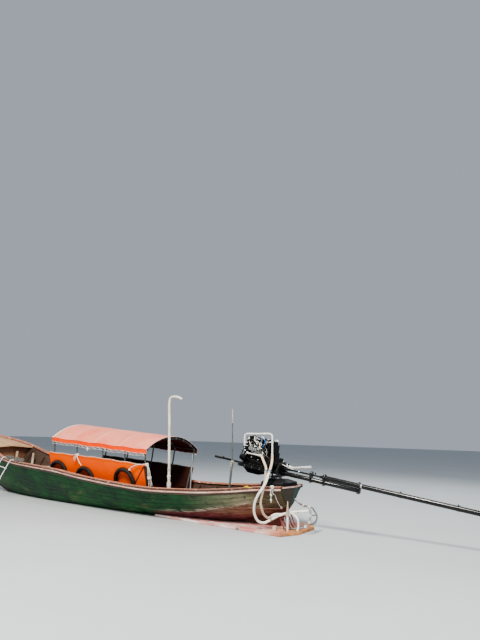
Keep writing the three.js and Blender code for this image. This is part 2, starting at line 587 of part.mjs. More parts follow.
addPiece('oil_pan', 'black', loft([[20 - GAP, 150, 690], [-40, 150, 690], [-140, 334, 582]].map(
  ([z, x0, x1], i) => [[x0, -150 + 16 * i], [x1, -150 + 16 * i], [x1, 150 - 16 * i], [x0, 150 - 16 * i]]
    .map(([x, y]) => [x, y, z])), [0, 1]), engine);
addPiece('cylinder_head', 'steel', join(box(150, 690, -125, 125, 390 + GAP, 500),
  box(170, 670, -80, 80, 495, 565), box(180, 660, -185, -120, 410, 470), box(180, 640, 120, 175, 400, 480),
  box(95, 155, -100, 100, 470, 545)), engine);
addPiece('front_pulleys', 'steel', join(rod([700 + GAP, 0, CRANK_UP], [728, 0, CRANK_UP], 95, 16),
  rod([700 + GAP, 0, 380], [728, 0, 380], 70, 14), box(700.3, 722, -30, 30, 150, 350),
  box(700.3, 722, 30, 240, 120, 180), rod([560, 240, 150], [728, 240, 150], 60, 14)), engine);
addPiece('exhaust', 'steel', bentPipe([[420, -185 - GAP, 440], [420, -262, 440], [380, -275, 330],
  [150, -275, 185], [-198, -268, 84], [-599, -262, 182]], 23, 60, 8, 26), engine);
addPiece('tiller', 'black', join(rod([765 + GAP, 0, 2], [1330, 0, 7], 17, 8),
  rod([1320, 0, 7], [1500, 0, 8], 22, 8), box(765 + GAP, 790, -60, 60, -30, 28)), engine);

// Shaft tube with its skeg, support tube with its clamps, and the propeller
const SUPPORT_END = -1690;
addPiece('shaft_tube', 'black', join(plateAlongX(shaftRing(SHAFT_RADIUS), [], SHAFT_END, BARE_SHAFT[0]),
  plateAlongX(shaftRing(BARE_RADIUS), [], BARE_SHAFT[0] - 5, BARE_SHAFT[1] + 5),
  plateAlongX(shaftRing(SHAFT_RADIUS), [], BARE_SHAFT[1], -95 - GAP),
  plateAlongY([[-4330, SHAFT_UP - 30], [-4775, SHAFT_UP - 30], [-4790, SHAFT_UP - 185], [-4930, SHAFT_UP - 262],
    [-4900, SHAFT_UP - 277], [-4700, SHAFT_UP - 200]], -8, 8)), engine);
// Columns: x, radius of what the clamp holds
const CLAMPS = [[-735, BARE_RADIUS], [-1000, SHAFT_RADIUS], [-1655, SHAFT_RADIUS]];
const support = toSolid(plateAlongX(supportRing(SUPPORT_RADIUS), [], SUPPORT_END, -95 - GAP));
const clampOutline = [[-42, -54], [42, -54], [54, -40], [54, 120], [38, 143], [-38, 143], [-54, 120], [-54, -40]]
  .map(([y, z]) => new THREE.Vector2(y, z + SHAFT_UP - SUPPORT_DROP));
addPiece('support_tube', 'black', join(support, ...CLAMPS.map(([x, held]) => plateAlongX(clampOutline,
  [shaftRing(held + 0.5)], x - 20, x + 20))), engine);
const blade = (turn) => {
  const shape = [[10, -22], [120, -60], [BLADE_RADIUS, -25], [BLADE_RADIUS - 5, 35], [110, 62], [10, 26]];
  return loft([-5, 5].map((off) => shape.map(([r, w]) => [SHAFT_END - 60 + 0.55 * w + off, w * 0.83, r])))
    .rotateX(turn);
};
const propeller = join(rod([0, 0, 0], [-110, 0, 0], 32, 12, 20).translate(SHAFT_END - GAP, 0, 0),
  ...[0, Math.PI].map(blade));
addPiece('propeller', 'bronze', propeller.translate([0, 0, SHAFT_UP]), engine);

// Coolant pipe over the engine, and the pipe along its port side
const [COS, SIN] = [Math.cos(SHAFT_ANGLE), Math.sin(SHAFT_ANGLE)];
const toEngine = ([x, y, z]) => {
  const [dx, dz] = [x - PIVOT_X, z - PIVOT_Z];
  return [dx * COS + dz * SIN, y, dz * COS - dx * SIN];
};
const fromEngine = ([x, y, z]) => [PIVOT_X + x * COS - z * SIN, y, PIVOT_Z + z * COS + x * SIN];
const move = (at, way, by) => at.map((v, k) => v + by * way[k]);
const unit = (from, to) => new THREE.Vector3(...to).sub(new THREE.Vector3(...from)).normalize().toArray();
const COOLANT = [[1088, 195, 1505], [1090, 195, 1690], [1045, 190, 1738], [500, 190, 1748], [455, 195, 1700],
  [447, 204, 1340]];
addPiece('coolant_pipe', 'white', bentPipe(COOLANT.map(toEngine), 17, 40, 8, 30), engine);
const SIDE_PIPE = [[604, 190 + GAP, 243], [604, 226, 243], [312, 226, 245]];
addPiece('side_pipe', 'white', bentPipe(SIDE_PIPE, 16, 30, 8, 12), engine);

// Two hoses, each in two lengths that meet in a union on the swivel's clip, and the stern water pipe.
// Their points are measured from the stern, like the hull. Columns: middle of the union, the hose's way there
const HOSE = 23;
const UNION = 35;              // half length of a union
const UNIONS = [
  [[373, 450, 1054], [-0.0979, 0.6991, -0.7083]],
  [[447, 450, 1044], [-0.3310, 0.6420, -0.6916]],
];
const unionRod = ([at, way]) => rod(move(at, way, -UNION), move(at, way, UNION), 28, 12);
addPiece('hose_clip', 'steel', join(...UNIONS.map(unionRod), rod(UNIONS[0][0], UNIONS[1][0], 12, 8),
  bentPipe([[PIVOT_X, CHEEK[1] + GAP, 985], [PIVOT_X, 330, 985], UNIONS[1][0]], 14, 25, 8, 10)));
const PIPE_TAIL = [[330, 424, 217], [211, 370, 287], [106, 290, 329], [3, 260, 357], [-227, 200, 390],
  [-300, 170, 402]];
const PIPE_BRANCH = [[352, 395, 262], [290, 367, 298], [150, 323, 312]];
addPiece('water_pipe', 'white', join(bentPipe(PIPE_TAIL, HOSE, 35, 8, 22), bentPipe(PIPE_BRANCH, HOSE, 30, 8, 10),
  bentPipe([[3, 260, 352], [-60, 247, 300], [-131, 252, 193], [-113, 252, BOARD_TOP + 4]], 20, 45, 8, 14)));
const clear = GAP + 0.4;
const [coolantWay, sideWay] = [COOLANT, SIDE_PIPE.map(fromEngine)].map((line) => unit(line.at(-2), line.at(-1)));
const [coolantEnd, sideEnd] = [COOLANT.at(-1), fromEngine(SIDE_PIPE.at(-1))];
const [tailWay, branchWay] = [PIPE_TAIL, PIPE_BRANCH].map((line) => unit(line[0], line[1]));
const above = (k, by) => move(...UNIONS[k], -UNION - by);
const below = (k, by) => move(...UNIONS[k], UNION + by);
// Columns: name, points
const HOSES = [
  ['hose_upper_a', [move(coolantEnd, coolantWay, clear), move(coolantEnd, coolantWay, 60), [413, 290, 1186],
    above(0, 60), above(0, clear)]],
  ['hose_upper_b', [move(sideEnd, sideWay, clear), move(sideEnd, sideWay, 45), [600, 268, 1222],
    above(1, 60), above(1, clear)]],
  ['hose_lower_a', [below(0, clear), below(0, 55), [347, 620, 881], [395, 680, 759], [465, 700, 652],
    [531, 690, 525], [561, 670, 417], [566, 640, 311], [523, 580, 189], [442, 500, 158],
    move(PIPE_TAIL[0], tailWay, -50), move(PIPE_TAIL[0], tailWay, -clear)]],
  ['hose_lower_b', [below(1, clear), below(1, 55), [410, 556, 877], [408, 628, 705], [455, 614, 526],
    [452, 577, 402], [438, 515, 300], move(PIPE_BRANCH[0], branchWay, -60),
    move(PIPE_BRANCH[0], branchWay, -clear)]],
];
for (const [name, points] of HOSES) {
  addPiece(name, 'cream', hose(points, HOSE, 10, name.includes('upper') ? 14 : 30));
}

group.position.x = -AMIDSHIPS;
export default group;
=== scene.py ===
import math

import bmesh
import bpy
from mathutils import Matrix, Vector, noise


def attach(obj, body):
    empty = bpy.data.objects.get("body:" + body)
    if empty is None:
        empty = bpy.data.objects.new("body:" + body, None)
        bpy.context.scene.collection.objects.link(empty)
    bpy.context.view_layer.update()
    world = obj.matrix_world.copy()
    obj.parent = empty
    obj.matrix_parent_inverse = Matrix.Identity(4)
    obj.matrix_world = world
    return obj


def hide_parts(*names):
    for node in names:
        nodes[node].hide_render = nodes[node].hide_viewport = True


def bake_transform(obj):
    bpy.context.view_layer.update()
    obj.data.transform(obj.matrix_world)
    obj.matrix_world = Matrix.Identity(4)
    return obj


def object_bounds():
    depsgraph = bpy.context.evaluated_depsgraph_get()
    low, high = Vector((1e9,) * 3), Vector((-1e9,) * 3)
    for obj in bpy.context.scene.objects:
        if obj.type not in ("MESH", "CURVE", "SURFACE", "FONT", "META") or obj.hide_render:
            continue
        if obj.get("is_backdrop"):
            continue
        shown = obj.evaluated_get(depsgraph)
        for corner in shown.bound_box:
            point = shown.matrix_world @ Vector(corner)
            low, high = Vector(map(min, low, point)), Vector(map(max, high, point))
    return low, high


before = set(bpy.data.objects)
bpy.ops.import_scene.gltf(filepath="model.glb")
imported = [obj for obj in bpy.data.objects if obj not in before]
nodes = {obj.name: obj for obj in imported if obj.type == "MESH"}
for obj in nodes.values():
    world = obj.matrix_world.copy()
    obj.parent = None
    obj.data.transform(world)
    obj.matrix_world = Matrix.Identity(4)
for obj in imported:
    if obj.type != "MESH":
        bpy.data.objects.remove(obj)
cadBox = [list(corner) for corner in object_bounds()]

# The frame's origin is amidships at the waterline; these lengths run from the squat board's aft edge.
amidships = 5.2


def at(x, y, z):
    return Vector((x - amidships, y, z))


def newObject(name, data):
    item = bpy.data.objects.new(name, data)
    bpy.context.scene.collection.objects.link(item)
    return item


# Camera, light and floor
view = {"place": (-9.279, 8.66, 1.639), "turn": (104.048, -1.695, -148.04), "lens": 26.66, "sensor": 36,
        "reach": 400}
cameraData = bpy.data.cameras.new("camera")
cameraData.sensor_width = view["sensor"]
cameraData.lens = view["lens"]
cameraData.clip_end = view["reach"]
camera = newObject("camera", cameraData)
camera.location = view["place"]
camera.rotation_euler = [math.radians(angle) for angle in view["turn"]]
bpy.context.scene.camera = camera

studio = {"floorHalf": 160, "floorTone": (.5, .53, .54), "sky": (.8, .88, 1.0), "skyStrength": .42,
          "contrast": "AgX - Medium High Contrast"}
world = bpy.data.worlds.new("studio")
bpy.context.scene.world = world
world.use_nodes = True
background = world.node_tree.nodes["Background"]
background.inputs[0].default_value = (*studio["sky"], 1)
background.inputs[1].default_value = studio["skyStrength"]
bpy.context.scene.view_settings.look = studio["contrast"]

# kind, place, aimed at, size, watts, tint
lamps = [
    ("key", (-6, 12, 15), (-1, 0, .5), 3.5, 5200, (1, .95, .87)),
    ("fill", (-13, 6, 5), (-2, 0, .5), 8, 420, (.93, .97, 1)),
    ("back", (-6, -11, 10), (-1, 0, .5), 8, 700, (1, 1, 1)),
    ("bow", (15, 2, 9), (4, 0, 1), 7, 500, (1, 1, 1)),
]
for name, place, aim, size, watts, tint in lamps:
    lampData = bpy.data.lights.new(name, "AREA")
    lampData.energy = watts
    lampData.size = size
    lampData.color = tint
    lamp = newObject(name, lampData)
    lamp.location = place
    lamp.rotation_euler = (Vector(aim) - Vector(place)).to_track_quat("-Z", "Y").to_euler()

half = studio["floorHalf"]
floorMesh = bpy.data.meshes.new("floor")
floorMesh.from_pydata([(-half, -half, 0), (half, -half, 0), (half, half, 0), (-half, half, 0)], [],
                      [(0, 1, 2, 3)])
floor = newObject("floor", floorMesh)
floor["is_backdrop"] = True


def newMaterial(name, roughness=.6, metallic=0.0):
    material = bpy.data.materials.new(name)
    material.use_nodes = True
    shader = material.node_tree.nodes["Principled BSDF"]
    shader.inputs["Roughness"].default_value = roughness
    shader.inputs["Metallic"].default_value = metallic
    return material, shader


# A node with its settings. Its inputs are named, or numbered as i0, i1 and so on, and each is a value or a
# socket to link.
def add(tree, kind, settings=None, **inputs):
    node = tree.nodes.new(kind)
    for key, value in (settings or {}).items():
        setattr(node, key, value)
    for key, value in inputs.items():
        socket = node.inputs[int(key[1:])] if key[0] == "i" and key[1:].isdigit() else node.inputs[key]
        if isinstance(value, bpy.types.NodeSocket):
            tree.links.new(value, socket)
        else:
            socket.default_value = value
    return node


def objectVector(tree, scale=(1, 1, 1), turn=(0, 0, 0)):
    coords = add(tree, "ShaderNodeTexCoord")
    mapping = add(tree, "ShaderNodeMapping", Vector=coords.outputs["Object"])
    mapping.inputs["Scale"].default_value = scale
    mapping.inputs["Rotation"].default_value = turn
    return mapping.outputs[0]


def cloud(vector, scale, detail=4.0, rough=.55, warp=0.0):
    return add(vector.id_data, "ShaderNodeTexNoise", Vector=vector, Scale=scale, Detail=detail,
               Roughness=rough, Distortion=warp).outputs["Fac"]


def ramp(value, low, high, bottom=0.0, top=1.0):
    return add(value.id_data, "ShaderNodeMapRange", Value=value, i1=low, i2=high, i3=bottom,
               i4=top).outputs[0]


# Sums on sockets; one of the two may be a number
def calc(operation, a, b=0.0):
    tree = (a if isinstance(a, bpy.types.NodeSocket) else b).id_data
    return add(tree, "ShaderNodeMath", {"operation": operation}, i0=a, i1=b).outputs[0]


def plus(a, b):
    return calc("ADD", a, b)


def minus(a, b):
    return calc("SUBTRACT", a, b)


def times(a, b):
    return calc("MULTIPLY", a, b)


# A mix of two tones by a share from 0 to 1; either may be a socket
def blendTone(share, a, b):
    node = add(share.id_data, "ShaderNodeMix", {"data_type": "RGBA"}, i0=share)
    for index, tone in ((6, a), (7, b)):
        if isinstance(tone, bpy.types.NodeSocket):
            share.id_data.links.new(tone, node.inputs[index])
        else:
            node.inputs[index].default_value = (*tone, 1)
    return node.outputs[2]


def bump(height, strength, distance):
    return add(height.id_data, "ShaderNodeBump", Height=height, Strength=strength,
               Distance=distance).outputs[0]


def finishMaterial(material, shader, tone, roughness, normal):
    for socket, name in ((tone, "Base Color"), (roughness, "Roughness"), (normal, "Normal")):
        material.node_tree.links.new(socket, shader.inputs[name])
    return material


def separate(vector):
    return add(vector.id_data, "ShaderNodeSeparateXYZ", Vector=vector).outputs


# A mesh object that rides on a body; uvs holds one pair for each vertex
def meshPiece(name, verts, faces, material, body="hull", slot=None, replaced=(), sharp=35, uvs=None,
              faceMaterials=None, extraMaterials=()):
    mesh = bpy.data.meshes.new(name)
    mesh.from_pydata([tuple(v) for v in verts], [], faces)
    mesh.validate()
    if uvs:
        layer = mesh.uv_layers.new(name="UVMap")
        for loop in mesh.loops:
            layer.data[loop.index].uv = uvs[loop.vertex_index]
    for item in (material, *extraMaterials):
        mesh.materials.append(item)
    if faceMaterials:
        for face, index in zip(mesh.polygons, faceMaterials):
            face.material_index = index
    piece = newObject(name, mesh)
    sketch = bmesh.new()
    sketch.from_mesh(mesh)
    bmesh.ops.recalc_face_normals(sketch, faces=sketch.faces)
    sketch.to_mesh(mesh)
    sketch.free()
    mesh.shade_smooth()
    mesh.set_sharp_from_angle(angle=math.radians(sharp))
    if body:
        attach(piece, body)
    if replaced:
        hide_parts(*replaced)
    return piece


# Several (verts, faces) as one
def gather(parts):
    verts, faces = [], []
    for partVerts, partFaces in parts:
        start = len(verts)
        verts.extend(partVerts)
        faces.extend([tuple(i + start for i in face) for face in partFaces])
    return verts, faces


# Several parts as one piece in one look
def joined(name, parts, finish, **rest):
    return meshPiece(name, *gather(parts), look[finish], **rest)


# Rings of equal length, joined in order; a closed one runs back to its first ring
def loftRings(rings, closed=False):
    count = len(rings[0])
    verts = [Vector(p) for ring in rings for p in ring]
    faces = []
    for r in range(len(rings) if closed else len(rings) - 1):
        a, b = r * count, (r + 1) % len(rings) * count
        faces += [(a + i, a + (i + 1) % count, b + (i + 1) % count, b + i) for i in range(count)]
    if not closed:
        faces.append(tuple(reversed(range(count))))
        faces.append(tuple(range((len(rings) - 1) * count, len(rings) * count)))
    return verts, faces


# Tangent and two normals at each point of a path, carried along without twist
def framesAlong(path):
    path = [Vector(p) for p in path]
    tangents = []
    for i in range(len(path)):
        before, after = path[max(i - 1, 0)], path[min(i + 1, len(path) - 1)]
        tangents.append((after - before).normalized())
    side = tangents[0].orthogonal().normalized()
    frames = []
    for tangent in tangents:
        side = (side - tangent * side.dot(tangent)).normalized()
        frames.append((tangent, side, tangent.cross(side)))
    return path, frames


# A tube along a path; radius is a number or one for each point. Rounded ends are drawn in
def tube(path, radius, sides=10, rounded=0.0):
    path, frames = framesAlong(path)
    radii = list(radius) if hasattr(radius, "__len__") else [radius] * len(path)
    rings = []
    for point, (tangent, side, up), r in zip(path, frames, radii):
        rings.append([point + r * (math.cos(a) * side + math.sin(a) * up)
                      for a in (2 * math.pi * (k + .5) / sides for k in range(sides))])
    if rounded:
        for end, sign in ((0, -1), (-1, 1)):
            centre, (tangent, side, up), r = path[end], frames[end], radii[end]
            ring = [centre + sign * tangent * rounded + (p - centre) * .55 for p in rings[end]]
            rings.insert(0 if end == 0 else len(rings), ring)
    return loftRings(rings)


# Centripetal curve through the points, the same as the hoses follow in the frame
def smoothPath(points, steps=6):
    points = [Vector(p) for p in points]
    points = [2 * points[0] - points[1], *points, 2 * points[-1] - points[-2]]
    path = []
    for a, b, c, d in zip(points, points[1:], points[2:], points[3:]):
        t0, t1 = 0.0, max((b - a).length, 1e-6) ** .5
        t2 = t1 + max((c - b).length, 1e-6) ** .5
        t3 = t2 + max((d - c).length, 1e-6) ** .5
        for k in range(steps):
            t = t1 + (t2 - t1) * k / steps
            p = a.lerp(b, (t - t0) / (t1 - t0))
            q = b.lerp(c, (t - t1) / (t2 - t1))
            r = c.lerp(d, (t - t2) / (t3 - t2))
            p, q = p.lerp(q, (t - t0) / (t2 - t0)), q.lerp(r, (t - t1) / (t3 - t1))
            path.append(p.lerp(q, (t - t1) / (t2 - t1)))
    path.append(points[-2])
    return path


# The curve through points that are measured from the stern, in the frame's own lengths
def curve(points, steps=6):
    return [at(*p) for p in smoothPath(points, steps)]


def pathLength(path):
    return sum((b - a).length for a, b in zip(path, path[1:]))


# A box between two corners
def block(low, high):
    (x0, y0, z0), (x1, y1, z1) = low, high
    verts = [(x0, y0, z0), (x1, y0, z0), (x1, y1, z0), (x0, y1, z0),
             (x0, y0, z1), (x1, y0, z1), (x1, y1, z1), (x0, y1, z1)]
    return verts, [(0, 3, 2, 1), (4, 5, 6, 7), (0, 1, 5, 4), (1, 2, 6, 5), (2, 3, 7, 6), (3, 0, 4, 7)]


# Rings of (distance, radius) about a line; a bare distance closes an end there. The line runs from start
# towards a second point, or along the axis that a word names.
axes = {"x": (1, 0, 0), "-x": (-1, 0, 0), "y": (0, 1, 0), "-y": (0, -1, 0), "z": (0, 0, 1), "-z": (0, 0, -1)}


def spun(profile, start, towards, sides=24):
    profile = [p if isinstance(p, tuple) else (p, .001) for p in profile]
    start = Vector(start)
    axis = Vector(axes[towards]) if isinstance(towards, str) else (Vector(towards) - start).normalized()
    side = axis.orthogonal().normalized()
    up = axis.cross(side)
    rings = [[start + axis * d + r * (math.cos(a) * side + math.sin(a) * up)
              for a in (2 * math.pi * k / sides for k in range(sides))] for d, r in profile]
    return loftRings(rings)


def bevelled(piece, width):
    modifier = piece.modifiers.new("edges", "BEVEL")
    modifier.width = width
    modifier.segments = 2
    modifier.limit_method = "ANGLE"
    modifier.angle_limit = math.radians(40)
    modifier.harden_normals = True
    return piece


# A merged copy of a frame node with worn edges, which stands for that node
def dressed(node, name, material, bevel, body="hull"):
    sketch = bmesh.new()
    sketch.from_mesh(nodes[node].data)
    bmesh.ops.remove_doubles(sketch, verts=sketch.verts, dist=.00008)
    bmesh.ops.dissolve_limit(sketch, angle_limit=math.radians(2), verts=sketch.verts, edges=sketch.edges)
    mesh = bpy.data.meshes.new(name)
    sketch.to_mesh(mesh)
    sketch.free()
    mesh.materials.append(material)
    piece = newObject(name, mesh)
    mesh.shade_smooth()
    mesh.set_sharp_from_angle(angle=math.radians(35))
    if bevel:
        bevelled(piece, bevel)
    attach(piece, body)
    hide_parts(node)
    return piece


print("studio and helpers ready")


# Surfaces. Each is one procedural material with colour variation, wear, relief and varying gloss.
def weathered(name, tone, second, scale=3.0, stretch=(1, 1, 1), roughness=(.45, .75), relief=.25,
              metallic=0.0, grime=(.05, .04, .03), grimeShare=.35, chips=None, chipShare=0.0, fine=60.0,
              gleam=.5):
    material, shader = newMaterial(name, roughness[0], metallic)
    shader.inputs["Specular IOR Level"].default_value = gleam
    tree = material.node_tree
    vector = objectVector(tree, stretch)
    plain = objectVector(tree)
    patches = cloud(vector, scale, 6, .6, .4)
    surface = blendTone(ramp(patches, .36, .64), tone, second)
    dirt = cloud(plain, scale * 2.7, 8, .7)
    surface = blendTone(ramp(dirt, .5, .78, 0, grimeShare), surface, grime)
    gloss = ramp(dirt, .3, .7, *roughness)
    height = cloud(vector, fine, 4, .6)
    if chips:
        worn = ramp(cloud(plain, scale * 4.3, 9, .72, .6), .66 - chipShare, .68 - chipShare)
        surface = blendTone(worn, surface, chips)
        height = minus(height, times(worn, .8))
    return finishMaterial(material, shader, surface, gloss, bump(height, relief, .003))


# Wood with grain along one axis, and seams between boards: seams = (axis, board width, offset)
def timber(name, light, dark, along=0, seams=None, paint=None, cover=.5, second=None, roughness=(.55, .85)):
    material, shader = newMaterial(name, roughness[0])
    tree = material.node_tree
    stretch = [34.0, 34.0, 34.0]
    stretch[along] = 1.6
    grain = cloud(objectVector(tree, tuple(stretch)), 1.0, 7, .62, .9)
    plain = objectVector(tree)
    surface = blendTone(ramp(grain, .3, .68), dark, light)
    blotch = cloud(plain, 2.3, 6, .62, .5)
    surface = blendTone(ramp(blotch, .42, .72, 0, .5), surface, [.55 * c for c in dark])
    height = grain
    if seams:
        axis, width, offset = seams
        coordinate = calc("DIVIDE", plus(separate(plain)[axis], offset), width)
        board = add(tree, "ShaderNodeTexWhiteNoise", {"noise_dimensions": "1D"},
                    W=calc("FLOOR", coordinate)).outputs["Value"]
        surface = blendTone(times(board, .35), surface, [1.25 * c for c in light])
        seam = ramp(calc("PINGPONG", coordinate, .5), 0.0, .006 / width, 1, 0)
        surface = blendTone(seam, surface, [.25 * c for c in dark])
        height = minus(grain, times(seam, 1.6))
    if paint:
        coat = cloud(objectVector(tree, (1.0, 1.0, 1.0)), 3.4, 9, .68, .7)
        edge = .5 + .32 * (cover - .5)
        share = ramp(coat, edge + .02, edge - .02)
        tint = blendTone(ramp(blotch, .4, .62), paint, second or [.8 * c for c in paint])
        surface = blendTone(share, surface, tint)
        height = plus(height, times(share, .35))
    gloss = ramp(blotch, .3, .7, *roughness)
    return finishMaterial(material, shader, surface, gloss, bump(height, .35, .003))


surfaces = {
    # tone, second tone and what differs from the standard wear
    "blackPaint": ((.004, .0045, .005), (.01, .01, .01), dict(
        scale=5, roughness=(.28, .55), chips=(.1, .05, .03), chipShare=.01, gleam=.22, grimeShare=.1)),
    "glossBlack": ((.003, .0035, .004), (.008, .008, .008), dict(
        scale=5, roughness=(.12, .3), chips=(.14, .12, .11), chipShare=.01, gleam=.5, grimeShare=.1)),
    "castIron": ((.0035, .004, .0045), (.011, .01, .009), dict(
        scale=7, roughness=(.45, .75), chips=(.12, .07, .04), chipShare=.01, fine=140, gleam=.16,
        grimeShare=.1)),
    "darkAlloy": ((.2, .2, .2), (.09, .09, .09), dict(
        scale=8, roughness=(.35, .65), metallic=.6, grimeShare=.8, fine=140)),
    "brightPipe": ((.86, .85, .83), (.66, .64, .61), dict(
        scale=6, roughness=(.25, .5), metallic=.3, grimeShare=.3)),
    "darkPole": ((.045, .06, .055), (.105, .115, .095), dict(scale=9, roughness=(.5, .8))),
    "alloy": ((.52, .52, .51), (.34, .34, .33), dict(
        scale=8, roughness=(.35, .65), metallic=.7, grimeShare=.8, fine=140)),
    "steel": ((.3, .3, .31), (.2, .19, .18), dict(
        scale=6, roughness=(.35, .65), metallic=.8, chips=(.2, .09, .04), chipShare=.04)),
    "galvanised": ((.42, .44, .46), (.3, .32, .34), dict(
        scale=14, roughness=(.35, .6), metallic=.75, chips=(.22, .1, .05), chipShare=.02)),
    "chrome": ((.78, .77, .74), (.55, .53, .5), dict(
        scale=6, roughness=(.16, .4), metallic=.95, grimeShare=.45)),
    "whitePaint": ((.8, .8, .77), (.66, .66, .62), dict(
        scale=4, roughness=(.3, .55), chips=(.3, .19, .12), chipShare=.02, grimeShare=.25)),
    "paleBlue": ((.5, .68, .78), (.72, .8, .82), dict(scale=5, roughness=(.35, .6))),
    "bluePlastic": ((.05, .26, .62), (.03, .16, .46), dict(scale=5, roughness=(.35, .6))),
    "rubber": ((.008, .007, .007), (.018, .016, .014), dict(
        scale=6, roughness=(.45, .8), grime=(.1, .07, .05), grimeShare=.4, gleam=.35)),
    "creamHose": ((.8, .7, .54), (.72, .55, .36), dict(
        scale=7, roughness=(.35, .6), grimeShare=.3, relief=.15)),
    # part its own tan and part painted shade: the second lower hose is made a darker tan
    "shadedTanHose": ((.5, .36, .25), (.6, .46, .34), dict(
        scale=9, roughness=(.35, .6), grimeShare=.3, relief=.15)),
    "whiteHose": ((.86, .84, .79), (.78, .74, .66), dict(
        scale=5, roughness=(.3, .55), grimeShare=.22, relief=.12)),
    "bronze": ((.48, .33, .14), (.3, .24, .13), dict(
        scale=7, roughness=(.3, .6), metallic=.85, chips=(.13, .2, .15), chipShare=.03)),
    "creamPaint": ((.78, .72, .6), (.62, .54, .42), dict(
        scale=4, roughness=(.35, .6), chips=(.3, .19, .12), chipShare=.06, grimeShare=.3)),
    "redBrace": ((.22, .045, .03), (.1, .025, .018), dict(scale=6, roughness=(.5, .8), chipShare=.08,
                                                                  chips=(.5, .3, .22))),
    "whiteRope": ((.8, .77, .72), (.62, .58, .52), dict(scale=12, roughness=(.8, .95), fine=300, relief=.6)),
    "yellowRope": ((.8, .55, .05), (.66, .4, .04), dict(scale=12, roughness=(.8, .95), fine=300)),
    "lashing": ((.62, .58, .5), (.42, .38, .31), dict(scale=12, roughness=(.8, .95), fine=300, relief=.6)),
    "darkRope": ((.1, .1, .09), (.2, .18, .15), dict(scale=12, roughness=(.8, .95), relief=.6)),
    "railWood": ((.52, .25, .17), (.34, .14, .085), dict(
        scale=2.2, stretch=(.35, 3, 3), roughness=(.45, .75), chips=(.76, .6, .52), chipShare=.08,
        relief=.4, grime=(.07, .03, .02))),
    "railDark": ((.07, .026, .014), (.13, .055, .032), dict(
        scale=3, stretch=(.5, 3, 3), roughness=(.55, .85), relief=.4)),
    # painted shade: the cap's outer side, a darker copy of the rail wood
    "capSideShade": ((.15, .07, .046), (.08, .034, .022), dict(
        scale=3, stretch=(.4, 3, 3), roughness=(.55, .85), chips=(.5, .34, .26), chipShare=.08,
        relief=.4)),
    "strakeLow": ((.06, .04, .025), (.13, .09, .06), dict(
        scale=3, stretch=(.5, 3, 3), roughness=(.55, .85), relief=.4)),
    "strakePink": ((.72, .4, .31), (.83, .64, .56), dict(
        scale=3, stretch=(.6, 3, 3), roughness=(.5, .75), chips=(.33, .15, .09), chipShare=.05, relief=.4)),
    "keelPaint": ((.13, .026, .018), (.09, .035, .022), dict(
        scale=4, roughness=(.6, .85), chips=(.18, .11, .06), chipShare=.03, relief=.4)),
}
look = {name: weathered(name, tone, second, **rest) for name, (tone, second, rest) in surfaces.items()}
floorTone = studio["floorTone"]
floorMesh.materials.append(weathered("floorSurface", floorTone, [.94 * c for c in floorTone], .25,
                                     roughness=(.75, .9), relief=.05, grimeShare=0.0, fine=2.0))

woods = {
    # light, dark and what differs from plain boards along the boat
    "deckTan": ((.62, .4, .24), (.42, .24, .13), dict(seams=(1, .13, .065))),
    "soleWood": ((.56, .43, .3), (.32, .22, .14), dict(seams=(1, .15, 0.0), paint=(.6, .53, .44),
                                                              cover=.35)),
    "benchWood": ((.5, .27, .13), (.28, .13, .06), dict(along=1, paint=(.4, .12, .05), cover=.4)),
    "darkWood": ((.085, .048, .03), (.04, .022, .014), dict()),
    "darkRib": ((.095, .05, .03), (.042, .022, .014), dict(along=1)),
    "floorWood": ((.15, .085, .05), (.065, .036, .022), dict(seams=(1, .16, .08))),
    "bulkheadWood": ((.24, .11, .055), (.12, .048, .026), dict(along=2, seams=(1, .14, 0.0))),
    "stemWood": ((.46, .22, .11), (.26, .11, .055), dict(along=2, paint=(.36, .085, .045), cover=.6)),
    "poleWood": ((.55, .47, .35), (.3, .24, .17), dict(along=2)),
    "bedWood": ((.016, .015, .014), (.007, .006, .006), dict(along=1, paint=(.005, .005, .006), cover=.85)),
    "sternDeckWood": ((.2, .13, .08), (.09, .055, .035), dict(along=1, seams=(0, .16, .02))),
}
look.update({name: timber(name, light, dark, **rest) for name, (light, dark, rest) in woods.items()})


# Cloth with a weave, faded patches, folds in relief and a different inside; seams lie across x
def cloth(name, tone, faded, weave=420.0, roughness=.8, stain=(.3, .14, .09), stainShare=.3, crease=.5,
          sheen=.15):
    material, shader = newMaterial(name, roughness)
    tree = material.node_tree
    shader.inputs["Sheen Weight"].default_value = sheen
    shader.inputs["Specular IOR Level"].default_value = .15
    plain = objectVector(tree)
    patches = cloud(plain, 1.1, 5, .6, .3)
    surface = blendTone(ramp(patches, .35, .66), tone, faded)
    dirt = cloud(objectVector(tree, (1.2, 3, 3)), 3.1, 8, .7, .5)
    surface = blendTone(ramp(dirt, .54, .8, 0, stainShare), surface, stain)
    threads = add(tree, "ShaderNodeTexChecker", Vector=plain, Scale=weave).outputs["Fac"]
    folds = cloud(objectVector(tree, (1.0, 2.2, 2.2)), 3.0, 5, .6, 1.2)
    height = plus(times(folds, crease), times(threads, .02))
    gloss = ramp(dirt, .3, .7, roughness - .15, roughness + .1)
    return finishMaterial(material, shader, surface, gloss, bump(height, .5, .012))


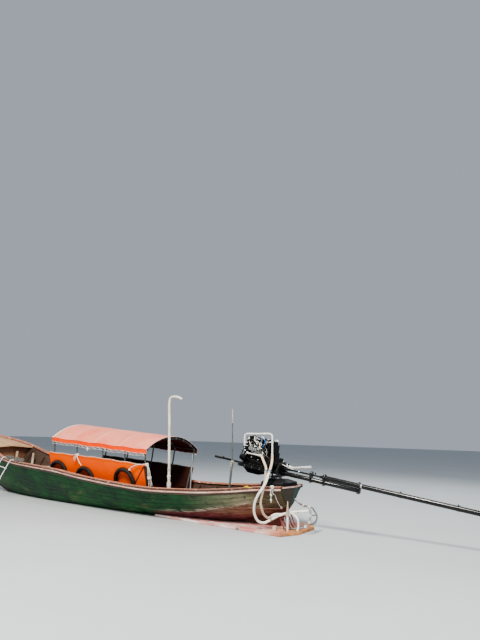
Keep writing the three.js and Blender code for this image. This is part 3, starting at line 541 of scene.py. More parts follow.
cloths = {
    "canopyTop": ((.74, .19, .12), (.84, .32, .23), dict(stain=(.62, .12, .07), stainShare=.25, crease=.3)),
    # painted shade: the canopy's underside is the same cloth made dark maroon
    "canopyShadedInside": ((.14, .018, .02), (.09, .012, .014), dict(stain=(.04, .008, .008), crease=.3,
                                                                    sheen=0.0)),
    "valanceOrange": ((.86, .05, 0.0), (.9, .085, .002), dict(stain=(.5, .04, .012), sheen=0.0)),
    # painted shade: the tarpaulin's inside is made near-black, as the shaded side of the orange tarp
    "tarpShadedInside": ((.03, .008, .006), (.055, .016, .01), dict(stain=(.012, .005, .004), sheen=0.0)),
    "tarpOrange": ((1.0, .1, 0.0), (1.0, .145, 0.0), dict(stain=(.6, .04, 0.0), stainShare=.22, sheen=0.0,
                                                                  crease=.8)),
    "hemWhite": ((.84, .8, .76), (.74, .66, .6), dict(stain=(.42, .28, .2), crease=.2)),
    "darkStrap": ((.05, .022, .016), (.08, .035, .025), dict(stain=(.02, .012, .01), crease=.2)),
}
look.update({name: cloth(name, tone, faded, **rest) for name, (tone, faded, rest) in cloths.items()})
print("surfaces ready")


# The two water hoses, each in two lengths. Points run from the engine to the stern.
hoses = {"radius": .023, "union": .035, "clear": .0007, "sides": 14}
pivot, shaftAngle = Vector((.455, 0, 1.045)), math.radians(8)


# From the engine's own axes, in line with its shaft, to lengths from the stern
def fromEngine(x, y, z):
    c, s = math.cos(shaftAngle), math.sin(shaftAngle)
    return Vector((pivot.x + x * c - z * s, y, pivot.z + z * c + x * s))


def onEngine(x, y, z):
    return at(*fromEngine(x, y, z))


unions = [(Vector((.373, .45, 1.054)), Vector((-.0979, .6991, -.7083)).normalized()),
          (Vector((.447, .45, 1.044)), Vector((-.331, .642, -.6916)).normalized())]
coolantPath = [Vector(p) for p in ((1.088, .195, 1.505), (1.09, .195, 1.69), (1.045, .19, 1.738),
                                   (.5, .19, 1.748), (.455, .195, 1.7), (.447, .204, 1.34))]
sidePath = [fromEngine(.604, .1903, .243), fromEngine(.604, .226, .243), fromEngine(.312, .226, .245)]
tailPath = [Vector(p) for p in ((.33, .424, .217), (.211, .37, .287), (.106, .29, .329),
                                (.003, .26, .357), (-.227, .2, .39), (-.3, .17, .402))]
branchPath = [Vector(p) for p in ((.352, .395, .262), (.29, .367, .298), (.15, .323, .312))]


def beyond(path, by):
    return path[-1] + by * (path[-1] - path[-2]).normalized()


def ahead(path, by):
    return path[0] + by * (path[0] - path[1]).normalized()


def above(k, by):
    return unions[k][0] - (hoses["union"] + by) * unions[k][1]


def below(k, by):
    return unions[k][0] + (hoses["union"] + by) * unions[k][1]


gap = hoses["clear"]
routes = {
    "hose_upper_a": ([beyond(coolantPath, gap), beyond(coolantPath, .06), Vector((.413, .29, 1.186)),
                      above(0, .06), above(0, gap)], "engine", "swivel", "creamHose"),
    "hose_upper_b": ([beyond(sidePath, gap), beyond(sidePath, .045), Vector((.6, .268, 1.222)),
                      above(1, .06), above(1, gap)], "engine", "swivel", "creamHose"),
    "hose_lower_a": ([below(0, gap), below(0, .055)] + [Vector(p) for p in (
        (.347, .62, .881), (.395, .68, .759), (.465, .7, .652), (.531, .69, .525),
        (.561, .67, .417), (.566, .64, .311), (.523, .58, .189), (.442, .5, .158))]
        + [ahead(tailPath, .05), ahead(tailPath, gap)], "swivel", "hull", "whiteHose"),
    # the second lower hose: darker tan, partly painted shade
    "hose_lower_b": ([below(1, gap), below(1, .055)] + [Vector(p) for p in (
        (.41, .556, .877), (.408, .628, .705), (.455, .614, .526), (.452, .577, .402),
        (.438, .515, .3))] + [ahead(branchPath, .06), ahead(branchPath, gap)], "swivel", "hull",
        "shadedTanHose"),
}
for name, (points, first, second, finish) in routes.items():
    smooth = curve(points, 8 if "upper" in name else 5)
    verts, faces = tube(smooth, hoses["radius"], hoses["sides"])
    hose = meshPiece(name.replace("_", "-"), verts, faces, look[finish], body=None)
    if "upper" in name:
        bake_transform(hose)
    else:
        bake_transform(hose)
    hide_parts(name)
    route = [list(p) for p in smooth[::(2 if len(smooth) < 45 else 3)]]
    if route[-1] != list(smooth[-1]):
        route.append(list(smooth[-1]))
print("hoses ready")


# Hull form: x, top of the planking, half beam there, rabbet line, fullness, all in metres
stations = [
    (0, .768, .42, .43, .8), (.45, .748, .58, .27, .88), (.95, .694, .73, .11, .94),
    (1.35, .661, .82, .03, .98), (1.9, .624, .9, -.05, 1), (2.9, .592, .99, -.135, 1),
    (3.8, .628, 1.027, -.18, 1), (4.9, .701, 1.04, -.205, 1), (5.9, .793, 1.02, -.21, 1),
    (6.7, .833, .985, -.2, .98), (7.55, .876, .925, -.16, .92), (8.2, .952, .86, -.095, .84),
    (8.6, 1.048, .81, -.035, .78), (9.2, 1.232, .72, .1, .7), (9.75, 1.358, .62, .29, .62),
    (10.15, 1.44, .51, .5, .58), (10.5, 1.505, .39, .74, .55), (11.0, 1.62, .18, 1.22, .5),
    (11.2, 1.675, .075, 1.54, .5)]
hull = {"planks": 10, "plank": .028, "groove": .004, "grooveDepth": .0035, "step": .1, "start": .0353,
        "end": 11.2, "keelHalf": .0303}
ribPlaces = (.65, 1.25, 1.85, 2.45, 2.95, 3.35, 4.15, 4.6, 5.25, 5.6, 6.22, 6.8, 7.4, 8.0, 8.6, 9.1)


# Slopes that keep each column smooth and free of overshoot between stations
def columnSlopes(column):
    xs, ys = [s[0] for s in stations], [s[column] for s in stations]
    steps = [(ys[i + 1] - ys[i]) / (xs[i + 1] - xs[i]) for i in range(len(xs) - 1)]
    slopes = [steps[0]]
    for i in range(1, len(steps)):
        a, b = steps[i - 1], steps[i]
        slopes.append(0 if a * b <= 0 else 2 * a * b / (a + b))
    return slopes + [steps[-1]]


slopes = {column: columnSlopes(column) for column in (1, 2, 3, 4)}


def hullAt(x):
    i = max(0, min(len(stations) - 2, sum(1 for s in stations if s[0] <= x) - 1))
    a, b = stations[i], stations[i + 1]
    h = b[0] - a[0]
    t = (x - a[0]) / h
    values = []
    for column in (1, 2, 3, 4):
        m0, m1 = slopes[column][i], slopes[column][i + 1]
        values.append((2 * t ** 3 - 3 * t * t + 1) * a[column] + (t ** 3 - 2 * t * t + t) * h * m0
                      + (3 * t * t - 2 * t ** 3) * b[column] + (t ** 3 - t * t) * h * m1)
    return values


def place(x, y, z):
    near = min(1, max(0, 1 - x / 1.5))
    return Vector((x + near * (.06 + .15 * abs(y) + .19 * (.803 - z)), y, z))


# Point of the port section at t, 0 at the keel and 1 at the top edge, moved inboard
def skin(x, t, inset=0.0):
    sheer, beam, rabbet, full = hullAt(x)
    depth = sheer - rabbet
    y1, y2 = .3 * full * beam, .68 * (.5 + .5 * full) * beam
    z1, z2 = .04 * depth, .38 * depth
    s = 1 - t
    start = hull["keelHalf"]
    stretch = (beam - start) / beam
    y = start + stretch * (3 * s * s * t * y1 + 3 * s * t * t * y2 + t ** 3 * beam)
    z = rabbet + 3 * s * s * t * z1 + 3 * s * t * t * z2 + t ** 3 * depth
    dy = stretch * (s * s * y1 + 2 * s * t * (y2 - y1) + t * t * (beam - y2))
    dz = s * s * z1 + 2 * s * t * (z2 - z1) + t * t * (depth - z2)
    length = math.hypot(dy, dz)
    return max(start, y - inset * dz / length), min(sheer, z + inset * dy / length)


# t at equal steps of girth, so that planks keep their shares from end to end
def girthTable(x, samples=48):
    points = [skin(x, i / samples) for i in range(samples + 1)]
    lengths = [0.0]
    for a, b in zip(points, points[1:]):
        lengths.append(lengths[-1] + math.dist(a, b))
    return lengths


def tAtGirth(lengths, share):
    wanted = share * lengths[-1]
    i = next((k for k in range(1, len(lengths)) if lengths[k] >= wanted), len(lengths) - 1)
    span = lengths[i] - lengths[i - 1]
    return (i - 1 + (wanted - lengths[i - 1]) / span) / (len(lengths) - 1)


rows = [hull["start"] + i * hull["step"] for i in range(int((hull["end"] - hull["start"]) / hull["step"])
                                                        + 1)]
rows.append(hull["end"])


# Shares of the girth and how deep each point lies: a plank's face, then the seam to the next
def sectionShares(girth):
    count, groove = hull["planks"], hull["groove"] / girth
    shares = []
    for k in range(count):
        low = k / count + (groove if k else 0)
        high = (k + 1) / count - (groove if k < count - 1 else 0)
        shares += [(low + (high - low) * part, 0.0) for part in (0, .33, .67, 1)]
        if k < count - 1:
            shares.append(((k + 1) / count, hull["grooveDepth"]))
    return shares


def plankingSide(side):
    rings, uvs = [], []
    for x in rows:
        lengths = girthTable(x)
        outer = []
        for share, deep in sectionShares(lengths[-1]):
            y, z = skin(x, tAtGirth(lengths, share), deep)
            outer.append((y, z, share))
        inner = [(*skin(x, tAtGirth(lengths, k / 12), hull["plank"]), k / 12) for k in range(12, -1, -1)]
        for line, sign in ((outer, 1), (inner, -1)):
            for i in range(1, len(line)):
                a, b = line[i - 1], line[i]
                line[i] = ((max(b[0], a[0] + 2e-5), max(b[1], a[1] + 2e-5), b[2]) if sign > 0 else
                           (min(b[0], a[0] - 2e-5), min(b[1], a[1] - 2e-5), b[2]))
        rings.append([at(*place(x, side * y, z)) for y, z, _ in outer + inner])
        uvs += [(x - amidships, share * hull["planks"]) for _, _, share in outer + inner]
    verts, faces = loftRings(rings)
    outerCount = len(outer)
    count = len(rings[0])
    marks = [0 if i % count < outerCount - 1 else 1 for i in range((len(rings) - 1) * count)] + [1, 1]
    return verts, faces, uvs, marks


# Outside paint: green forward, olive aft, brown-red below the second seam aft, and scratches; painted
# highlight lines lie along each plank's lower edge
def plankingPaint():
    material, shader = newMaterial("plankingPaint", .5)
    shader.inputs["Specular IOR Level"].default_value = .22
    tree = material.node_tree
    plain = objectVector(tree)
    uv = separate(add(tree, "ShaderNodeTexCoord").outputs["UV"])
    where = separate(plain)
    along, plank = uv[0], uv[1]
    board = add(tree, "ShaderNodeTexWhiteNoise", {"noise_dimensions": "1D"},
                W=calc("FLOOR", plank)).outputs["Value"]
    mottle = cloud(objectVector(tree, (2.2, 2.2, 4.5)), 1.0, 9, .66, .6)
    fine = cloud(objectVector(tree, (5, 5, 30)), 1.0, 8, .7, .4)
    scratch = cloud(objectVector(tree, (3.5, 6, 70), (0, .05, 0)), 1.0, 6, .75, .2)
    green = blendTone(ramp(mottle, .38, .6), (.004, .042, .02), (.034, .145, .048))
    olive = blendTone(ramp(mottle, .36, .6), (.12, .13, .07), (.42, .4, .26))
    aft = ramp(plus(along, times(mottle, 1.2)), -2.4, -3.75)
    surface = blendTone(aft, green, olive)
    bare = ramp(plus(along, times(mottle, .6)), -4.22, -4.46, 0, .92)
    surface = blendTone(bare, surface, blendTone(ramp(fine, .4, .62), (.075, .052, .034), (.2, .15, .1)))
    surface = blendTone(times(board, .3), surface, (.01, .034, .014))
    patch = ramp(cloud(objectVector(tree, (.9, 1, 2.6)), 1.6, 9, .72, .8), .555, .625, 0, .42)
    surface = blendTone(patch, surface, (.2, .21, .085))
    blots = ramp(cloud(objectVector(tree, (2.4, 2, 4)), 1.9, 7, .6, 1.2), .6, .66, 0, .85)
    surface = blendTone(blots, surface, (.003, .012, .006))
    # below the sixth seam the aft part is brown-red, and purple towards the board
    shift = ramp(along, -3.85, -3.1, 0, .85)
    plankLow = plus(plank, shift)
    low = ramp(plus(plankLow, times(fine, .35)), 6.02, 6.14, 1, 0)
    under = ramp(where[2], .364, .352)
    stern = ramp(along, -4.45, -4.62)
    low = plus(times(low, minus(1.0, stern)), times(under, stern))
    reach = ramp(plus(along, times(fine, .5)), -1.75, -2.15)
    red = blendTone(ramp(mottle, .35, .65), (.085, .042, .034), (.17, .088, .07))
    worn = blendTone(ramp(fine, .38, .62), (.14, .07, .042), (.3, .185, .125))
    red = blendTone(ramp(plus(along, times(mottle, .8)), -2.9, -3.7), red, worn)
    near = ramp(plus(where[2], times(mottle, .08)), .285, .215)
    red = blendTone(near, red, blendTone(ramp(fine, .38, .6), (.085, .028, .03), (.26, .085, .09)))
    red = blendTone(ramp(fine, .61, .69, 0, .5), red, (.42, .28, .24))
    surface = blendTone(times(low, reach), surface, red)
    band = times(ramp(calc("ABSOLUTE", minus(plankLow, 6.1)), .5, .15), ramp(along, -2.1, -2.9))
    band = times(band, minus(1.0, stern))
    surface = blendTone(times(band, ramp(scratch, .5, .57, 0, .95)), surface, (.7, .58, .5))
    stripe = times(ramp(calc("ABSOLUTE", minus(where[2], .366)), .011, .006), ramp(along, -4.4, -4.5))
    surface = blendTone(times(stripe, ramp(fine, .34, .44)), surface, (.46, .28, .25))
    surface = blendTone(ramp(scratch, .635, .7, 0, .6), surface, (.46, .42, .3))
    slime = ramp(plus(where[2], times(mottle, .08)), .11, .04, 0, .6)
    surface = blendTone(times(slime, minus(1.0, reach)), surface, (.012, .05, .03))
    seam = calc("PINGPONG", plank, .5)
    line = ramp(seam, .012, .05, 1, 0)
    # painted highlight: a light line along each plank's lower edge, just above the seam, broken up by noise
    plankEdgeHighlight = times(ramp(calc("FRACT", plank), .05, .13, 1, 0), ramp(fine, .47, .62, 0, .55))
    surface = blendTone(plankEdgeHighlight, surface, blendTone(aft, (.1, .24, .1), (.48, .44, .32)))
    surface = blendTone(times(line, .85), surface, (.016, .018, .01))
    joint = calc("PINGPONG", plus(calc("DIVIDE", along, 3.7), times(board, 5.0)), .5)
    butt = ramp(joint, .0006, .0016, .8, 0)
    surface = blendTone(butt, surface, (.02, .022, .012))
    height = minus(plus(fine, times(scratch, .5)), times(butt, 1.2))
    gloss = ramp(mottle, .3, .7, .42, .7)
    return finishMaterial(material, shader, surface, gloss, bump(height, .45, .004))


look["planking"] = plankingPaint()
for word, side in (("port", 1), ("starboard", -1)):
    verts, faces, uvs, marks = plankingSide(side)
    meshPiece(f"planking-{word}", verts, faces, look["planking"], slot="planking_paint",
              replaced=[f"planking_{word}"], uvs=uvs, faceMaterials=marks, extraMaterials=[look["darkWood"]],
              sharp=50)


# A long piece that follows the hull, from a section of (y, z) points at each row
def hullSweep(side, section, first=0.0, last=11.2, step=.1):
    count = int(round((last - first) / step))
    rings = []
    for i in range(count + 1):
        x = first + (last - first) * i / count
        rings.append([at(*place(x, side * y, z)) for y, z in section(x)])
    return loftRings(rings)


rail = {"thick": .035, "inboard": .075, "outboard": .042, "round": .007, "strake": .038, "depth": .085,
        "back": .005, "scarf": 2.9}


# Height at which a thing stands on the cap, over its planking by the cap and a little room
def onCap(x, lift=.0356):
    return hullAt(x)[0] + lift


def capSection(x):
    sheer, beam, _, _ = hullAt(x)
    inner, outer = max(hull["keelHalf"], beam - rail["inboard"]), beam + rail["outboard"]
    low, high, r = sheer + .0003, sheer + rail["thick"], rail["round"]
    # the ends of the planks that the cap is made of stand a hair proud of each other
    lift = .0016 * math.sin(7 * (x // rail["scarf"]) + 1)
    high += lift
    return [(inner, low), (outer - r, low), (outer, low + r), (outer, high - r),
            (outer - .3 * r, high - .3 * r), (outer - r, high), (inner + r, high),
            (inner + .3 * r, high - .3 * r), (inner, high - r)]


def strakeSection(x):
    top, low = skin(x, 1), skin(x, .875)
    dy, dz = low[0] - top[0], low[1] - top[1]
    length = math.hypot(dy, dz)
    down = min(rail["depth"] / length, .97)
    back, thick = rail["back"], rail["strake"]

    def off(share, out):
        t = share * down
        return top[0] + t * dy - out * dz / length, top[1] + t * dz + out * dy / length

    return [off(0, back), off(0, thick - .004), off(.03, thick), off(.16, thick + .001), off(.31, thick),
            off(.34, thick - .003), off(.37, thick - .013), off(.43, thick - .013), off(.47, thick - .006),
            off(.56, thick - .004), off(.8, thick - .005), off(.95, thick - .008), off(1, thick - .014),
            off(1, back)]


for word, side in (("port", 1), ("starboard", -1)):
    verts, faces = hullSweep(side, capSection)
    # the cap's lower chamfer and outer side take the darker tone, painted shade on the side
    marks = [1 if i % 9 in (1, 2) else 0 for i in range(len(faces) - 2)] + [1, 1]
    meshPiece(f"gunwale-{word}", verts, faces, look["railWood"], slot="rail_wood",
              replaced=[f"gunwale_{word}"], faceMaterials=marks, extraMaterials=[look["capSideShade"]])
    verts, faces = hullSweep(side, strakeSection)
    width = len(strakeSection(5))
    marks = [(0 if i % width < 5 else 1 if i % width < 8 else 2) for i in range(len(faces) - 2)] + [2, 2]
    meshPiece(f"strake-{word}", verts, faces, look["strakePink"], slot="strake_paint",
              replaced=[f"rub_strake_{word}"], faceMaterials=marks,
              extraMaterials=[look["railDark"], look["strakeLow"]])
print("planking and rails ready")


# Transom and board have their own mixes of paint and bare wood, with painted shade on the transom's starboard
# half and along the board's lower edge
def transomPaint():
    material, shader = newMaterial("transomPaint", .6)
    tree = material.node_tree
    plain = objectVector(tree)
    where = separate(plain)
    mottle = cloud(objectVector(tree, (2, 3, 5)), 1.4, 9, .68, .5)
    grain = cloud(objectVector(tree, (30, 2, 34)), 1.0, 6, .65, .6)
    bare = blendTone(ramp(mottle, .35, .65), (.04, .033, .022), (.07, .058, .04))
    # the starboard half (y below 0) is dark green and darker than the port half: partly green paint, partly
    # painted shade
    green = blendTone(ramp(mottle, .35, .65), (.008, .036, .03), (.018, .06, .05))
    surface = blendTone(ramp(where[1], .02, -.02), bare, green)
    seam = ramp(calc("PINGPONG", calc("DIVIDE", where[2], .105), .5), 0.0, .05, .9, 0)
    surface = blendTone(seam, surface, (.02, .018, .012))
    surface = blendTone(ramp(grain, .62, .72, 0, .45), surface, (.15, .12, .085))
    height = minus(grain, times(seam, 1.5))
    return finishMaterial(material, shader, surface, ramp(mottle, .3, .7, .5, .8), bump(height, .4, .004))


def boardPaint():
    material, shader = newMaterial("boardPaint", .6)
    tree = material.node_tree
    plain = objectVector(tree)
    where = separate(plain)
    wear = cloud(objectVector(tree, (1.6, 4, 4)), 1.5, 9, .7, .7)
    streak = cloud(objectVector(tree, (2, 26, 26)), 1.0, 7, .65, .6)
    pink = blendTone(ramp(wear, .4, .56), (.8, .7, .66), (.66, .26, .25))
    purple = blendTone(ramp(streak, .55, .66, 0, .7), pink, (.26, .045, .06))
    orange = blendTone(ramp(wear, .4, .6), (.72, .3, .1), (.4, .17, .075))
    end = ramp(plus(where[0], times(wear, .9)), -4.3, -4.75)
    surface = blendTone(end, purple, orange)
    seam = ramp(calc("PINGPONG", calc("DIVIDE", plus(where[1], .06), .24), .5), 0.0, .02, .9, 0)
    surface = blendTone(seam, surface, (.05, .03, .02))
    # painted shade: the board's lower edge, below z .012, darkened to near black-brown
    under = ramp(where[2], .012, -.004)
    surface = blendTone(under, surface, (.05, .045, .025))
    height = minus(plus(streak, wear), times(seam, 2.0))
    return finishMaterial(material, shader, surface, ramp(wear, .3, .7, .5, .8), bump(height, .4, .004))


look["transom"] = transomPaint()
look["board"] = boardPaint()

# frame node: new name, look, slot, worn edge
plainPieces = {
    "transom": ("transom-boards", "transom", "bare_wood", .006),
    "keel": ("keel-timber", "keelPaint", "bottom_paint", .006),
    "stem_post": ("stem-timber", "stemWood", "rail_wood", .012),
    "ribs": ("ribs-timber", "darkRib", "dark_wood", 0),
    "stern_deck": ("stern-deck-boards", "sternDeckWood", "bare_wood", .004),
    "bow_platform": ("bow-platform-boards", "soleWood", "bare_wood", .004),
    "foredeck": ("foredeck-boards", "deckTan", "bare_wood", .005),
    "fore_bulkhead": ("fore-bulkhead-boards", "bulkheadWood", "dark_wood", .003),
    "squat_board": ("squat-board-planks", "board", "strake_paint", .007),
    "engine_bed": ("engine-bed-timber", "bedWood", "bed_wood", .01),
}
for node, (name, finish, slotName, edge) in plainPieces.items():
    dressed(node, name, look[finish], edge)

# Floorboards laid along the boat, narrower towards the ends, with open seams and butts
floorBoards = {"top": .12, "thick": .025, "width": .155, "seam": .008, "from": 1.5, "to": 8.6, "edge": .094,
               "butt": 2.35, "step": .77, "narrowest": .03, "uneven": .0008, "rows": 60}
footLevel = .1203  # things that stand on the floorboards start a hair above them


def soleHalf(x):
    best = 0
    for i in range(25):
        y, z = skin(x, i / 24, floorBoards["edge"])
        if z <= floorBoards["top"] - floorBoards["thick"]:
            best = y
    return best


def soleBoards():
    parts = []
    size = floorBoards
    xs = [size["from"] + .002 + i * (size["to"] - size["from"] - .004) / size["rows"]
          for i in range(size["rows"] + 1)]
    limits = [soleHalf(x) for x in xs]
    count = int(1.2 / size["width"])
    for k in range(-count, count + 1):
        low, high = (k - .5) * size["width"] + size["seam"] / 2, (k + .5) * size["width"] - size["seam"] / 2
        shift = size["step"] * (k % 3)
        run = []
        for i, x in enumerate(xs):
            a, b = max(low, -limits[i]), min(high, limits[i])
            wide = b - a > size["narrowest"]
            if wide:
                run.append((x, a, b))
            # a board ends where it gets too narrow, at the last row and at its butts
            if run and (not wide or i == len(xs) - 1
                        or int((x + shift) / size["butt"]) != int((xs[i + 1] + shift) / size["butt"])):
                if len(run) > 1:
                    lift = size["uneven"] * math.sin(9 * k + x)
                    floor, top = size["top"] - size["thick"], size["top"] + lift
                    rings = []
                    for n, (px, pa, pb) in enumerate(run):
                        px += .004 if n == 0 else -.004 if n == len(run) - 1 else 0
                        rings.append([at(px, pa, floor), at(px, pb, floor), at(px, pb, top), at(px, pa, top)])
                    parts.append(loftRings(rings))
                run = [(x, a, b)] if wide else []
    return gather(parts)


verts, faces = soleBoards()
bevelled(meshPiece("floor-boards", verts, faces, look["floorWood"], slot="dark_wood",
                   replaced=["floorboards"]), .002)

# Benches: middle x, half length, top, and how far out the side boards stand
bench = {"half": .125, "gap": .002, "thick": .028}
benches = {"helm_bench": (1.85, .43, .33, .2), "bench_1": (3.42, .54, .42, .33),
           "bench_2": (4.17, .54, .42, .33), "bench_3": (5.06, .54, .42, .33)}
for node, (x, halfLength, top, foot) in benches.items():
    parts = [block(at(x - bench["half"], -halfLength, top - bench["thick"]),
                   at(x - bench["gap"], halfLength, top)),
             block(at(x + bench["gap"], -halfLength, top - bench["thick"]),
                   at(x + bench["half"], halfLength, top)),
             block(at(x - .11, -foot + .014, top - .075), at(x - .085, foot - .014, top - .029))]
    for side in (-1, 1):
        parts.append(block(at(x - .1, side * foot - .013, footLevel),
                           at(x + .1, side * foot + .013, top - .0285)))
    verts, faces = gather(parts)
    bevelled(meshPiece(node.replace("_", "-") + "-planks", verts, faces, look["benchWood"], slot="bare_wood",
                       replaced=[node]), .004)


# Studs: short heads standing on points, each turned to its own direction
def studTree():
    tree = bpy.data.node_groups.new("studs", "GeometryNodeTree")
    face = tree.interface
    face.new_socket("Points", in_out="INPUT", socket_type="NodeSocketGeometry")
    for name, value in (("Radius", .008), ("Height", .006)):
        face.new_socket(name, in_out="INPUT", socket_type="NodeSocketFloat").default_value = value
    face.new_socket("Sides", in_out="INPUT", socket_type="NodeSocketInt").default_value = 6
    face.new_socket("Finish", in_out="INPUT", socket_type="NodeSocketMaterial")
    face.new_socket("Studs", in_out="OUTPUT", socket_type="NodeSocketGeometry")
    given = tree.nodes.new("NodeGroupInput").outputs
    head = add(tree, "GeometryNodeMeshCylinder", Vertices=given["Sides"], Radius=given["Radius"],
               Depth=given["Height"])
    facing = add(tree, "GeometryNodeInputNamedAttribute", {"data_type": "FLOAT_VECTOR"}, Name="facing")
    turn = add(tree, "FunctionNodeAlignRotationToVector", {"axis": "Z"}, Vector=facing.outputs[0])
    spread = add(tree, "GeometryNodeInstanceOnPoints", Points=given["Points"], Instance=head.outputs["Mesh"],
                 Rotation=turn.outputs[0])
    real = add(tree, "GeometryNodeRealizeInstances", i0=spread.outputs[0])
    paint = add(tree, "GeometryNodeSetMaterial", Geometry=real.outputs[0], Material=given["Finish"])
    add(tree, "NodeGroupOutput", i0=paint.outputs[0])
    return tree


studGroup = studTree()


def studs(name, spots, radius, height, material, body="hull", sides=6):
    cloudMesh = bpy.data.meshes.new(name + "-spots")
    cloudMesh.from_pydata([tuple(spot) for spot, _ in spots], [], [])
    facing = cloudMesh.attributes.new("facing", "FLOAT_VECTOR", "POINT")
    for item, (_, way) in zip(facing.data, spots):
        item.vector = tuple(way)
    holder = newObject(name + "-spots", cloudMesh)
    modifier = holder.modifiers.new("studs", "NODES")
    modifier.node_group = studGroup
    chosen = {"Radius": radius, "Height": height, "Sides": sides, "Finish": material}
    for socket in studGroup.interface.items_tree:
        if socket.in_out == "INPUT" and socket.name in chosen:
            modifier[socket.identifier] = chosen[socket.name]
    holder.update_tag()
    evaluated = holder.evaluated_get(bpy.context.evaluated_depsgraph_get())
    mesh = bpy.data.meshes.new_from_object(evaluated)
    bpy.data.objects.remove(holder)
    piece = newObject(name, mesh)
    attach(piece, body)
    return piece


# Plugs over the fastenings: two at every rib on each plank
plugs = {"first": 3, "shares": (.22, .78), "apart": .012}
spots = []
for x in ribPlaces:
    lengths = girthTable(x)
    for k in range(plugs["first"], hull["planks"]):
        for part in plugs["shares"]:
            for shift in (-plugs["apart"], plugs["apart"]):
                t = tAtGirth(lengths, (k + part) / hull["planks"])
                y, z = skin(x + shift, t)
                y2, z2 = skin(x + shift, t, -.01)
                for side in (1, -1):
                    spots.append((at(*place(x + shift, side * y, z)), Vector((0, side * (y2 - y), z2 - z))))
studs("plank-plugs", spots, .0065, .003, look["darkWood"], sides=8)

# Nails along the cap
nails = {"count": 74, "first": .15, "pitch": .148, "inboard": .015}
spots = []
for i in range(nails["count"]):
    x = nails["first"] + i * nails["pitch"]
    sheer, beam, _, _ = hullAt(x)
    for side in (1, -1):
        spots.append((at(*place(x, side * (beam - nails["inboard"]), sheer + rail["thick"] + .0012)),
                      Vector((0, 0, 1))))
studs("cap-nails", spots, .006, .003, look["steel"], sides=8)

# Bolts along both sides of the squat board
spots = [(at(x, side * y, .046), Vector((0, 0, 1))) for side in (1, -1) for x, y in (
    (-.18, .12), (-.1, .28), (.05, .42), (.05, .6), (.45, .62), (.85, .6), (1.25, .57), (1.65, .55),
    (2.05, .535), (2.45, .52))]
studs("board-bolts", spots, .013, .01, look["steel"], sides=6)
print("decks and fastenings ready")


# Canopy: a cloth stretched over five hoops, with sag between them and a lower edge laced to a rope
canopy = {"rear": (3.09, 1.357, .282), "front": (6.22, 1.538, .335), "half": .9, "valance": .095,
          "thick": .0045, "sag": .014, "power": 2.2, "hoops": (3.16, 3.76, 4.46, 5.33, 6.15), "pipe": .017,
          "tuck": .006, "ripple": .003, "across": 44, "edge": 7, "columns": 90, "seams": (3.92, 4.72, 5.52)}
hoopDrop = .014 + 1.25 * canopy["pipe"] + .0022
rails = {"at": (.82, -.82, 0), "radius": .0125, "below": .014 + canopy["pipe"] + .03}


def canopyAt(x):
    (x0, eave0, rise0), (x1, eave1, rise1) = canopy["rear"], canopy["front"]
    t = (x - x0) / (x1 - x0)
    return eave0 + t * (eave1 - eave0), rise0 + t * (rise1 - rise0)


def archHeight(x, y):
    eave, rise = canopyAt(x)
    return eave + rise * (1 - (min(abs(y), canopy["half"]) / canopy["half"]) ** canopy["power"])


# How far the cloth hangs between two hoops, 0 at a hoop
def sagAt(x):
    places = (canopy["rear"][0], *canopy["hoops"], canopy["front"][0])
    for a, b in zip(places, places[1:]):
        if a <= x <= b:
            return math.sin(math.pi * (x - a) / (b - a)) ** 2 * min(1, (b - a) / .7)
    return 0


def canopyPoint(x, y, inset=0.0):
    eave, rise = canopyAt(x)
    share = min(1, abs(y) / canopy["half"])
    ripple = canopy["ripple"] * noise.noise(Vector((x * 2.3, y * 3.1, 4.2)))
    crown = canopy["sag"] * sagAt(x) * (.35 + .65 * share)
    return at(x, y * (1 - inset / canopy["half"]), archHeight(x, y) - crown + ripple - inset)


# Rings across the cloth: outer face with its valances, then the inner face back
def canopySheet():
    across, edge, columns = canopy["across"], canopy["edge"], canopy["columns"]
    x0, x1 = canopy["rear"][0], canopy["front"][0]
    rings = []
    for i in range(columns + 1):
        x = x0 + (x1 - x0) * i / columns
        outer, inner = [], []
        hem = .004 * math.sin(2 * math.pi * (x - x0) / .158)
        for side in (1, -1):
            fold = []
            for k in range(edge, 0, -1):
                drop = canopy["valance"] * k / edge
                eave, _ = canopyAt(x)
                swing = .006 * math.sin(31 * x + side) * k / edge + .004 * math.sin(12.7 * x + 2) * k / edge
                low = eave - canopy["sag"] * sagAt(x) - drop - (hem if k == edge else 0)
                fold.append((at(x, side * (canopy["half"] - canopy["tuck"] + swing), low),
                             at(x, side * (canopy["half"] - canopy["tuck"] - canopy["thick"] + swing), low)))
            if side == 1:
                outer += [a for a, _ in fold]
                inner += [b for _, b in fold]
                for k in range(across + 1):
                    y = canopy["half"] * math.cos(math.pi * k / across) * .999
                    outer.append(canopyPoint(x, y))
                    inner.append(canopyPoint(x, y, canopy["thick"]))
            else:
                outer += [a for a, _ in reversed(fold)]
                inner += [b for _, b in reversed(fold)]
        rings.append(outer + inner[::-1])
    return rings


def canopyMaterial():
    material = cloth("canopyPanels", *cloths["canopyTop"][:2], **cloths["canopyTop"][2])
    tree, shader = material.node_tree, material.node_tree.nodes["Principled BSDF"]
    before = shader.inputs["Base Color"].links[0].from_socket
    along = separate(objectVector(tree))[0]
    seam = None
    # faint seams where the cloth's widths meet
    for x in canopy["seams"]:
        distance = calc("ABSOLUTE", minus(along, x - amidships))
        line = ramp(distance, .006, .016, .55, 0)
        seam = line if seam is None else calc("MAXIMUM", seam, line)
    tree.links.new(blendTone(seam, before, (.93, .62, .54)), shader.inputs["Base Color"])
    return material


